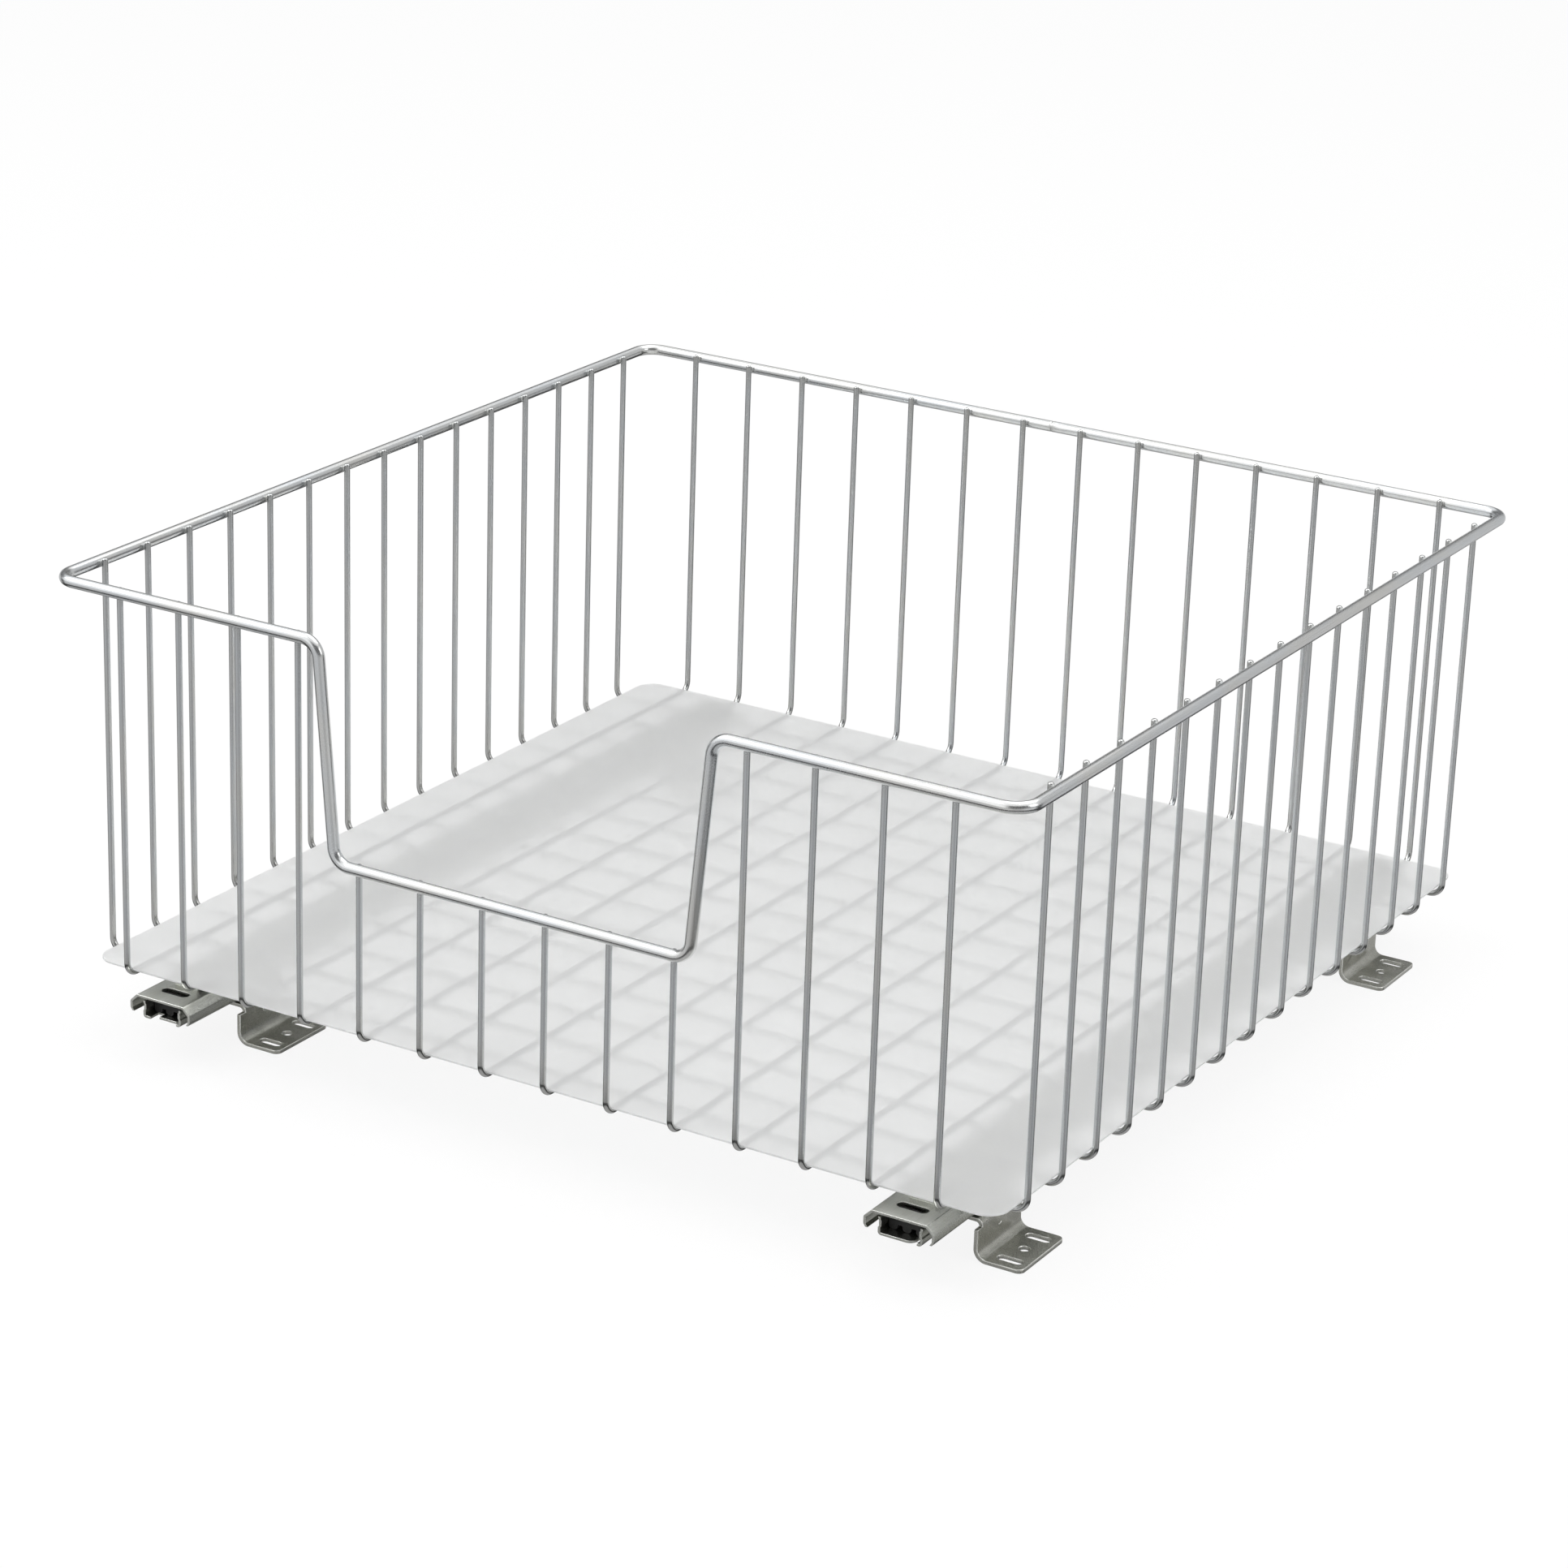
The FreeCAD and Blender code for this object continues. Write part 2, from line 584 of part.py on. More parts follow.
def make_basket_rail(side, centre):
    """Upper rail: a flat web with sloped shoulders, flanges, wire hooks and a stop tab."""
    body = new_body("%s_basket_rail" % side)
    top = S["web_level"]
    half = S["rail_width"] / 2
    sheet = S["rail_sheet"]
    outer = [(S["rail_web"] / 2, top), (half, top - S["rail_shoulder"]),
             (half, top - S["rail_flange"] + S["rail_lip"])]
    inner = [(FLANGE_IN, top - S["rail_flange"] + S["rail_lip"]),
             (FLANGE_IN, top - S["rail_shoulder"] - sheet * HALF_BEND),
             (S["rail_web"] / 2 - sheet * HALF_BEND, WEB_UNDER)]
    lip = [(half - S["rail_curl"], top - S["rail_flange"]),
           (FLANGE_IN - S["rail_curl"], top - S["rail_flange"])]
    section = new_sketch(body, "XZ_Plane", "section", -RAIL_FRONT)
    add_polygon(section, mirrored(outer + lip + inner))
    strip = pad(body, section, S["rail_length"], reverse=True)
    names = edges_where(strip, at_points(both_sides(outer)))
    rounded = round_edges(body, names, S["rail_round"] + sheet, "outer_bends")
    names = edges_where(rounded, at_points(both_sides(inner)))
    round_edges(body, names, S["rail_round"], "inner_bends")
    add_rail_hooks(body)
    add_stop_tab(body)
    place(body, "x", centre)
    return body


def add_rail_hooks(body):
    """Front slot, front hook over the first cross wire, end hook over the last one."""
    slot = new_sketch(body, "XY_Plane", "slot", S["web_level"])
    add_slot(slot, (term(0), RAIL_FRONT + S["slot_inset"]), S["slot_across"], S["slot_along"])
    cut_through(body, slot, "slot_cut", S["rail_sheet"] * 2)
    top = HOOK_LEVEL + S["hook_sheet"]
    riser = FRONT_WIRE - S["hook_arm"]
    arm_end = FRONT_WIRE + S["hook_over"]
    window = new_sketch(body, "XY_Plane", "window", S["web_level"])
    half = S["hook_width"] / 2
    add_box(window, (-half, riser), (half, arm_end))
    cut_through(body, window, "window_cut", S["rail_sheet"] * 2)
    front = new_sketch(body, "YZ_Plane", "front_hook")
    add_polygon(front, [(riser - S["hook_sheet"], WEB_UNDER), (riser, WEB_UNDER),
                        (riser, HOOK_LEVEL), (arm_end, HOOK_LEVEL), (arm_end, top),
                        (riser - S["hook_sheet"], top)])
    pad(body, front, S["hook_width"], name="front_hook_pad", centred=True)
    round_hook(body, "front", [(riser - S["hook_sheet"], top)], [(riser, HOOK_LEVEL)])
    back = new_sketch(body, "YZ_Plane", "back_hook")
    back_end = BACK_WIRE - S["hook_over"]
    add_polygon(back, [(RAIL_BACK, WEB_UNDER), (RAIL_BACK, top), (back_end, top),
                       (back_end, HOOK_LEVEL), (RAIL_BACK - S["hook_sheet"], HOOK_LEVEL),
                       (RAIL_BACK - S["hook_sheet"], WEB_UNDER)])
    pad(body, back, S["hook_width"], name="back_hook_pad", centred=True)
    round_hook(body, "back", [(RAIL_BACK, top)], [(RAIL_BACK - S["hook_sheet"], HOOK_LEVEL)])


def round_hook(body, label, outer, inner):
    """Round the bend of a hook outside and inside."""
    for name, spots, radius in (("outer", outer, S["hook_bend"] + S["hook_sheet"]),
                                ("inner", inner, S["hook_bend"])):
        names = edges_where(body.Tip, at_points(spots, "x"))
        round_edges(body, names, radius, "%s_hook_%s" % (label, name))


def add_stop_tab(body):
    """Tab under the web that meets the back of the cage when the basket is out."""
    tab = new_sketch(body, "YZ_Plane", "stop_tab")
    add_box(tab, (STOP_FACE, S["web_level"] - S["stop_depth"]), (STOP_BACK, S["web_level"]))
    pad(body, tab, S["stop_width"], name="stop_tab_pad", centred=True)


def make_base_rail(side, centre):
    """Lower rail: a floor, walls with a ball race outside and a tongue at the front."""
    body = new_body("%s_base_rail" % side)
    sheet = S["base_sheet"]
    near = S["race_half"]
    far = S["race_half"] + S["race_slope"]
    bends = [(WALL_REACH, BALL_LEVEL + far), (RACE_REACH, BALL_LEVEL + near),
             (RACE_REACH, BALL_LEVEL - near), (WALL_REACH, BALL_LEVEL - far)]
    outer = [(WALL_REACH, WALL_TOP)] + bends + [(WALL_REACH, BASE_LEVEL)]
    inner = [(x - sheet, z) for x, z in bends]
    inner = [(WALL_REACH - sheet, WALL_TOP)] + inner + [(WALL_REACH - sheet, BASE_FLOOR)]
    section = new_sketch(body, "XZ_Plane", "section", -BASE_FRONT)
    left = [(-x, z) for x, z in reversed(outer)]
    left_inner = [(-x, z) for x, z in inner]
    add_polygon(section, outer + left + left_inner + list(reversed(inner)))
    strip = pad(body, section, BASE_BACK - BASE_FRONT, reverse=True)
    corners = both_sides([outer[-1]])
    rounded = round_edges(body, edges_where(strip, at_points(corners)),
                          S["rail_round"] + sheet, "outer_bends")
    softened = bends + inner[1:]
    round_edges(body, edges_where(rounded, at_points(both_sides(softened))),
                S["rail_round"], "race_bends")
    add_tongue(body, side)
    add_rivet_holes(body, BASE_FLOOR, S["base_sheet"] * 2)
    place(body, "x", centre)
    return body


def add_tongue(body, side):
    """Shape the floor's front end: a set back tongue on the left, one round corner on the right."""
    sketch = new_sketch(body, "XY_Plane", "tongue", BASE_FLOOR)
    right = S["tongue_reach"]
    front = BASE_FRONT - CUT_OVER
    back = BASE_FRONT + S["notch_depth"]
    slim = right + S["notch_slim"]
    if side == "left":
        left = right - S["tongue_width"]
        wide = left - S["notch_wide"]
        end = BASE_FRONT + S["tongue_setback"]
        add_polygon(sketch, [(wide, front), (slim, front), (slim, back), (right, back),
                             (right, end), (left, end), (left, back), (wide, back)])
        corners = []
    else:
        add_box(sketch, (right, front), (slim, back))
        corners = [(right, BASE_FRONT)]
    cut_through(body, sketch, "tongue_notches", S["base_sheet"] * 2)
    for x, y in corners:
        names = edges_where(body.Tip, lambda edge, middle: runs_along(edge, "z")
                            and math.hypot(middle.x - x.value, middle.y - y.value) < NEAR)
        round_edges(body, names, S["tongue_round"], "tongue_corner")


def add_rivet_holes(body, level, depth, centres=None):
    """Rivet holes at the brackets, cut down from a level."""
    sketch = new_sketch(body, "XY_Plane", "rivet_holes", level)
    for centre in centres or (BRACKET_FRONT, BRACKET_BACK):
        for offset in (-S["rivet_spacing"] / 2, S["rivet_spacing"] / 2):
            add_circle(sketch, (term(0), centre + offset), S["rivet_shank"] / 2 + S["rivet_play"])
    cut_through(body, sketch, "rivet_cut", depth)


def make_ball_cage(side, centre):
    """Ball cage: a thin bridge over the base rail with a holed strip in each race."""
    body = new_body("%s_ball_cage" % side)
    sheet = S["cage_sheet"]
    top = WEB_UNDER - S["cage_head"]
    bend = S["rail_web"] / 2 - (S["rail_sheet"] + S["cage_head"]) * HALF_BEND
    outside = BALL_REACH + sheet / 2
    inside = BALL_REACH - sheet / 2
    bottom = BALL_LEVEL - S["ball"] / 2 - S["cage_skirt"]
    inner_bend = bend - sheet * HALF_BEND
    outer = [(bend, top), (outside, top - (outside - bend)), (outside, bottom)]
    inner = [(inside, bottom), (inside, top - sheet - (inside - inner_bend)),
             (inner_bend, top - sheet)]
    section = new_sketch(body, "XZ_Plane", "section", -CAGE_FRONT)
    add_polygon(section, mirrored(outer + inner))
    pad(body, section, S["cage_length"], reverse=True)
    hole = new_sketch(body, "YZ_Plane", "ball_holes")
    radius = S["ball"] / 2 + S["ball_play"]
    for along in ball_stations():
        add_circle(hole, (along, BALL_LEVEL), radius)
    cut_through(body, hole, "ball_cut", S["rail_width"], both=True)
    place(body, "x", centre)
    return body


def ball_stations():
    """Return where the balls sit along the slide."""
    count = int(S["ball_count"].value)
    middle = (CAGE_FRONT + CAGE_BACK) / 2
    return [middle + S["ball_pitch"] * (index - (count - 1) / 2) for index in range(count)]


def make_ball_set(side, centre):
    """The balls of one slide, in the two races."""
    balls = []
    for along in ball_stations():
        for across in (-BALL_REACH.value, BALL_REACH.value):
            spot = FreeCAD.Vector(across, along.value, BALL_LEVEL.value)
            balls.append(Part.makeSphere(S["ball"].value / 2, spot))
    return make_group("%s_ball_set" % side, balls, centre)


def make_group(name, solids, centre):
    """Put several equal solids into one piece of the model."""
    group = doc.addObject("Part::Feature", name)
    group.Label = name
    group.Shape = Part.makeCompound(solids)
    group.Placement = FreeCAD.Placement(FreeCAD.Vector(centre.value, 0, 0), FreeCAD.Rotation())
    return group


def make_buffer(name, start, centre):
    """Black buffer: a block across the base rail that stands on three round lobes."""
    body = new_body(name)
    half = S["buffer_width"] / 2
    under = BASE_FLOOR + S["lobe_drop"]
    face = new_sketch(body, "XZ_Plane", "face", -start)
    outline = [(half, BASE_FLOOR + S["buffer_height"]), (-half, BASE_FLOOR + S["buffer_height"]),
               (-half, under)]
    feet = []
    for index in (-1, 0, 1):
        left = S["lobe_pitch"] * index - S["lobe_width"] / 2
        right = left + S["lobe_width"]
        feet += [(left, BASE_FLOOR), (right, BASE_FLOOR)]
        outline += [(left, under), (left, BASE_FLOOR), (right, BASE_FLOOR), (right, under)]
    add_polygon(face, outline + [(half, under)])
    block = pad(body, face, S["buffer_length"], reverse=True)
    round_edges(body, edges_where(block, at_points(feet)), S["lobe_round"], "lobes")
    place(body, "x", centre)
    return body


# The brackets that carry the slides, and their rivets.

def make_bracket(name, middle, centre):
    """Z bracket: top flange under the base rail, leg beside it and foot outwards."""
    body = new_body(name)
    leg_out = S["leg_reach"] + S["plate"]
    under = BASE_LEVEL - S["plate"]
    half = S["plate_length"] / 2
    section = new_sketch(body, "XZ_Plane", "section", -(middle - half))
    top_bend = (leg_out, BASE_LEVEL)
    foot_bend = (leg_out, S["plate"])
    low_corner = (S["leg_reach"], term(0))
    high_corner = (S["leg_reach"], under)
    add_polygon(section, [(-S["flange_reach"], BASE_LEVEL), top_bend, foot_bend,
                          (S["foot_reach"], S["plate"]), (S["foot_reach"], term(0)), low_corner,
                          high_corner, (-S["flange_reach"], under)])
    feature = pad(body, section, S["plate_length"], reverse=True)
    for label, corner, radius in (("top_outer", top_bend, S["flange_bend"] + S["plate"]),
                                  ("top_inner", high_corner, S["flange_bend"]),
                                  ("foot_inner", foot_bend, S["foot_bend"]),
                                  ("foot_outer", low_corner, S["foot_bend"] + S["plate"])):
        feature = round_edges(body, edges_where(feature, at_points([corner])), radius, label)
    cut_bracket(body, feature, middle, half)
    add_rivet_holes(body, BASE_LEVEL, S["plate"] * 2, [middle])
    place(body, "x", centre)
    return body


def cut_bracket(body, feature, middle, half):
    """Round the foot's free corners, set the flange back and cut the mounting holes."""
    reach = S["foot_reach"].value
    names = edges_where(feature, lambda edge, at: runs_along(edge, "z") and at.x > reach - NEAR)
    round_edges(body, names, S["plate_corner"], "foot_corners")
    setback = new_sketch(body, "YZ_Plane", "setback")
    low = BASE_LEVEL - S["plate"] - S["flange_bend"]
    high = BASE_LEVEL + S["plate"]
    inner = half - S["flange_setback"]
    add_box(setback, (middle - half - CUT_OVER, low), (middle - inner, high))
    add_box(setback, (middle + inner, low), (middle + half + CUT_OVER, high))
    cut_through(body, setback, "setback_cut", S["foot_reach"] * 2, both=True)
    holes = new_sketch(body, "XY_Plane", "foot_holes", S["plate"])
    across = S["foot_hole_reach"]
    add_circle(holes, (across, middle), S["foot_hole"] / 2)
    for offset in (-S["foot_slot_offset"], S["foot_slot_offset"]):
        add_slot(holes, (across, middle + offset), S["foot_slot"], S["foot_slot_width"])
    cut_through(body, holes, "foot_cut", S["plate"] * 2)
    leg = new_sketch(body, "YZ_Plane", "leg_hole", S["leg_reach"])
    add_circle(leg, (middle, S["leg_hole_level"]), S["leg_hole"] / 2)
    cut_through(body, leg, "leg_cut", S["plate"] * 2, reverse=True)


def make_rivets(side, centre):
    """The rivets that join one base rail to its two brackets."""
    rivets = []
    for middle in (BRACKET_FRONT, BRACKET_BACK):
        for offset in (-S["rivet_spacing"] / 2, S["rivet_spacing"] / 2):
            rivets.append(make_rivet((middle + offset).value))
    return make_group("%s_bracket_rivets" % side, rivets, centre)


def make_rivet(along):
    """One rivet: a domed head on the rail floor, a shank and a closing head below."""
    under = (BASE_LEVEL - S["plate"]).value
    floor = BASE_FLOOR.value
    foot = S["rivet_foot"].value
    up = FreeCAD.Vector(0, 0, 1)
    shank = Part.makeCylinder(S["rivet_shank"].value / 2, floor - under,
                              FreeCAD.Vector(0, along, under), up)
    head = Part.makeCone(S["rivet_head"].value / 2, S["rivet_crown"].value / 2,
                         S["rivet_dome"].value, FreeCAD.Vector(0, along, floor), up)
    closing = Part.makeCone(S["rivet_foot_tip"].value / 2, S["rivet_foot_width"].value / 2,
                            foot, FreeCAD.Vector(0, along, under - foot), up)
    return shank.fuse([head, closing]).removeSplitter()


def check_document():
    """Stop when any object of the document failed."""
    for thing in doc.Objects:
        if "Invalid" in thing.State or "Error" in thing.State:
            raise ValueError("%s is in state %s" % (thing.Name, thing.State))


def write_pieces(pieces):
    """Check every piece's shape and write each to its own file."""
    os.makedirs(OUT, exist_ok=True)
    for piece in pieces:
        shape = piece.Shape
        if shape.isNull() or not shape.isValid() or not shape.Solids:
            raise ValueError("%s has no valid solid" % piece.Label)
    for piece in pieces:
        piece.Shape.exportStep(os.path.join(OUT, "%s.step" % piece.Label))
        print("%-22s %2d solid(s) %9.0f mm3" % (piece.Label, len(piece.Shape.Solids),
                                               piece.Shape.Volume))


def main():
    """Build every piece, check the document and write the files."""
    pieces = [make_rim(), make_mat()] + make_long_wires() + make_cross_wires()
    shift = S["slide_shift"]
    for side, centre in (("left", shift - SLIDE_X), ("right", shift + SLIDE_X)):
        pieces.append(make_basket_rail(side, centre))
        pieces.append(make_base_rail(side, centre))
        pieces.append(make_ball_cage(side, centre))
        pieces.append(make_ball_set(side, centre))
        pieces.append(make_buffer("%s_front_buffer" % side, FRONT_BUFFER, centre))
        pieces.append(make_buffer("%s_back_buffer" % side, BACK_BUFFER, centre))
        pieces.append(make_bracket("%s_front_bracket" % side, BRACKET_FRONT, centre))
        pieces.append(make_bracket("%s_back_bracket" % side, BRACKET_BACK, centre))
        pieces.append(make_rivets(side, centre))
    doc.recompute()
    check_document()
    write_pieces(pieces)


main()
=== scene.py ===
"""Looks of a pull-out wire basket that runs on two flat ball slides.

Everything is in metres, +Z up, the front towards -Y, with the origin on the floor below the
middle of the rim. Wires, rim, welds, balls and liner are surfaces worked out from formulas.
Sheet metal and buffers are copies of their solids with softened edges.
"""

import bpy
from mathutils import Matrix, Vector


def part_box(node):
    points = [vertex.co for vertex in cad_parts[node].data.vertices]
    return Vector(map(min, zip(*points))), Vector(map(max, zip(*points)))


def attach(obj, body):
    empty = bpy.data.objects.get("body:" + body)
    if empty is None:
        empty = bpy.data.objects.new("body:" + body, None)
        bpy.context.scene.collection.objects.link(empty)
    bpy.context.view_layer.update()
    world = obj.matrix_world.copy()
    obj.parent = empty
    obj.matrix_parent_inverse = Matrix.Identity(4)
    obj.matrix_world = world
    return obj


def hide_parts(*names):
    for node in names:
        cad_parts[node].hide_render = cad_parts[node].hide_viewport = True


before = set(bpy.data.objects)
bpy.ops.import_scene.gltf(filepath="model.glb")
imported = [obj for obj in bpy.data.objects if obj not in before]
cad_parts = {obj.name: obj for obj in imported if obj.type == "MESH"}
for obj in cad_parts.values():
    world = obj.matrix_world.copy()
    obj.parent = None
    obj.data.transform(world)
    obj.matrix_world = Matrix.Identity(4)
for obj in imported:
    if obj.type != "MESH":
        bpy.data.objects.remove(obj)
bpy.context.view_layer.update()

import logging
import math
from dataclasses import dataclass
from enum import Enum

import bmesh
import bpy
import numpy as np
from mathutils import Matrix, Vector

LOG = logging.getLogger("wire_basket")
MM = 0.001
DEGREE = 180 / math.pi
QUARTER = math.pi / 2

# For copies of solids: points closer than MERGE become one, faces that turn by less than
# FLAT degrees become one, edges that turn by more than SHARP are rounded, to FULLNESS (0.5 is
# a circle), and shading breaks at edges that turn by more than CREASE.
MERGE = 2e-6
FLAT, SHARP, CREASE = 0.6, 35.0, 50.0
FULLNESS = 0.6

# Waves for each millimetre of the noises on metal; the first axis runs with its lines.
STREAK_WAVES = (0.02, 2.6, 2.6)
GRAIN_WAVES = (3.2, 3.2, 3.2)
STAIN_WAVES = (0.018, 0.07, 0.07)
PIT_WAVES = (1.1, 1.1, 1.1)

# Ranges of a noise that are spread over 0 to 1.
WIDE, CLOSE, PEAKS = (0.3, 0.7), (0.35, 0.65), (0.72, 0.8)

Array = np.ndarray
Material = bpy.types.Material
Mesh = bpy.types.Mesh
Node = bpy.types.Node
Piece = bpy.types.Object
Socket = bpy.types.NodeSocket
Pair = tuple[float, float]
Triple = tuple[float, float, float]
Colour = tuple[float, float, float, float]


class Ride(Enum):
    """The rigid bodies that pieces ride on."""

    BASKET = "basket"
    BASES = "slide_bases"
    LEFT_CAGE = "left_cage"
    RIGHT_CAGE = "right_cage"


class Slot(Enum):
    """The material slots of the record."""

    RIM = "rim_wire"
    WIRE = "thin_wire"
    LINER = "liner_plastic"
    BASKET_RAIL = "basket_rail"
    BASE_RAIL = "base_rail"
    CAGE = "cage"
    BALLS = "balls"
    BRACKET = "bracket"
    RIVET = "rivet"
    BUFFER = "buffer_plastic"


class Side(Enum):
    """The two slides."""

    LEFT = "left"
    RIGHT = "right"


# Paths and surfaces


@dataclass(frozen=True)
class Path:
    """A line in space with a frame at each point: along, side and lift are unit vectors."""

    points: Array
    along: Array
    side: Array
    lift: Array
    reach: Array


def unit(vectors: Array) -> Array:
    """Return the vectors scaled to length one."""
    return vectors / np.linalg.norm(vectors, axis=-1, keepdims=True)


def bent_line(corners: Array, radius: Array, closed: bool, step: float,
              bend_steps: int) -> tuple[Array, Array]:
    """Work out a line of straight runs joined by round bends.

    A bend of radius r at a corner that turns by angle a starts r tan(a / 2) before it. Its
    points are c - s r cos(p) + d r sin(p) for p from 0 to a, with c its centre, d the
    direction that it starts in and s the unit vector towards its centre.

    Args:
        corners: the corners, one row each.
        radius: the bend radius at each corner.
        closed: whether the last corner joins the first.
        step: longest spacing of points on a straight run.
        bend_steps: number of steps in a quarter turn.

    Returns:
        The points and the unit directions at them.
    """
    ahead = np.roll(corners, -1, axis=0) - corners
    if not closed:
        ahead[-1] = ahead[-2]
    runs = unit(ahead)
    before = np.roll(runs, 1, axis=0)
    points, ways = ([], []) if closed else ([corners[:1]], [runs[:1]])
    for index in range(len(corners)) if closed else range(1, len(corners) - 1):
        turn = math.acos(float(np.clip(before[index] @ runs[index], -1, 1)))
        inward = (runs[index] - before[index] * math.cos(turn)) / math.sin(turn)
        start = corners[index] - before[index] * radius[index] * math.tan(turn / 2)
        centre = start + inward * radius[index]
        count = max(3, math.ceil(bend_steps * turn / QUARTER))
        angle = np.linspace(0, turn, count + 1)[:, None]
        spoke = before[index] * np.sin(angle) - inward * np.cos(angle)
        points.append(centre + radius[index] * spoke)
        ways.append(before[index] * np.cos(angle) + inward * np.sin(angle))
    if not closed:
        points.append(corners[-1:])
        ways.append(runs[-1:])
    whole_points, whole_ways = [], []
    for index, stretch in enumerate(points):
        whole_points.append(stretch)
        whole_ways.append(ways[index])
        if index + 1 == len(points) and not closed:
            break
        gap = points[(index + 1) % len(points)][0] - stretch[-1]
        count = math.ceil(float(np.linalg.norm(gap)) / step)
        share = (np.arange(1, count) / count)[:, None] if count > 1 else np.zeros((0, 1))
        whole_points.append(stretch[-1] + gap * share)
        whole_ways.append(np.repeat(ways[index][-1:], len(share), axis=0))
    return np.concatenate(whole_points), np.concatenate(whole_ways)


def framed_path(points: Array, along: Array, lift: Array) -> Path:
    """Give a line its frames: side = lift x along, for a lift square to the line."""
    jumps = np.linalg.norm(np.diff(points, axis=0), axis=1)
    reach = np.concatenate([[0.0], np.cumsum(jumps)])
    return Path(points, along, np.cross(lift, along), lift, reach)


def grid_quads(rows: int, columns: int, closed: bool) -> Array:
    """Return the quads of a grid that is closed along its columns, with corners in order
    (i, j), (i, j + 1), (i + 1, j + 1), (i + 1, j)."""
    i, j = np.meshgrid(np.arange(rows if closed else rows - 1), np.arange(columns), indexing="ij")
    over, beside = (i + 1) % rows, (j + 1) % columns
    corners = [i * columns + j, i * columns + beside, over * columns + beside, over * columns + j]
    return np.stack(corners, axis=-1).reshape(-1, 4)


def tube_surface(path: Path, radius: Array, columns: int) -> Array:
    """Points of a tube: p + r (side cos a + lift sin a) for each path point and angle a.

    The radius has a row for each path point, with one value or one for each angle.
    """
    angle = np.linspace(0, 2 * math.pi, columns, endpoint=False)
    ring = (path.side[:, None] * np.cos(angle)[None, :, None]
            + path.lift[:, None] * np.sin(angle)[None, :, None])
    return path.points[:, None] + ring * radius[:, :, None]


def ball_surfaces(centres: Array, sizes: Array, rows: int, columns: int,
                  pole_gap: float) -> tuple[Array, list]:
    """Work out flattened balls: c + (a cos v cos u, b cos v sin u, c sin v).

    Args:
        centres: the balls' centres, one row each.
        sizes: their half sizes, one row each.
        rows: steps in v, from pole to pole.
        columns: steps in u.
        pole_gap: angle left out at each pole, where a flat lid closes the ball.

    Returns:
        All points and the faces over them.
    """
    up = np.linspace(pole_gap - QUARTER, QUARTER - pole_gap, rows)[:, None]
    turn = np.linspace(0, 2 * math.pi, columns, endpoint=False)[None]
    ball = np.stack([np.cos(up) * np.cos(turn), np.cos(up) * np.sin(turn),
                     np.sin(up) * np.ones_like(turn)], axis=-1).reshape(-1, 3)
    points = centres[:, None] + ball[None] * sizes[:, None]
    quads = grid_quads(rows, columns, False)
    lid = np.arange(columns)
    faces = []
    for shift in range(0, len(centres) * rows * columns, rows * columns):
        faces += (quads + shift).tolist()
        faces += [(lid[::-1] + shift).tolist(), (lid + (rows - 1) * columns + shift).tolist()]
    return points.reshape(-1, 3), faces


def link_object(name: str, data: bpy.types.ID) -> Piece:
    """Make an object from its data and link it into the scene."""
    made = bpy.data.objects.new(name, data)
    bpy.context.scene.collection.objects.link(made)
    return made


def make_piece(name: str, points: Array, faces: list) -> Piece:
    """Make an object at the origin, shaded smooth.

    Args:
        name: the object's name.
        points: one row for each vertex.
        faces: lists of vertex indices.

    Returns:
        The new object, linked into the scene.
    """
    mesh = bpy.data.meshes.new(name)
    mesh.from_pydata(points.reshape(-1, 3).tolist(), [], faces)
    mesh.polygons.foreach_set("use_smooth", np.ones(len(faces), dtype=bool))
    mesh.update()
    return link_object(name, mesh)


def add_number(mesh: Mesh, name: str, values: Array, domain: str = "POINT") -> None:
    """Store one number for each vertex or face under a name that materials read."""
    layer = mesh.attributes.new(name, "FLOAT", domain)
    layer.data.foreach_set("value", values.astype(np.float32).ravel())


def add_tube_map(mesh: Mesh, along: Array, girth: float, columns: int) -> None:
    """Lay the map "wire" on a tube: u is the length along it and v round it, in millimetres.

    Args:
        mesh: the tube, with its quads first, in the order of grid_quads, then its tips.
        along: reach of each ring, with one more for a closed tube.
        girth: length round the tube.
        columns: number of points in a ring.
    """
    rows = len(along) - 1
    i, j = np.meshgrid(np.arange(rows), np.arange(columns), indexing="ij")
    u = np.stack([along[i], along[i], along[i + 1], along[i + 1]], axis=-1)
    v = np.stack([j, j + 1, j + 1, j], axis=-1) * (girth / columns)
    quads = np.stack([u, v], axis=-1).reshape(-1, 2) / MM
    ends = np.tile([along[-1] / MM, 0.0], (len(mesh.loops) - len(quads), 1))
    layer = mesh.uv_layers.new(name="wire")
    layer.data.foreach_set("uv", np.concatenate([quads, ends]).astype(np.float32).ravel())


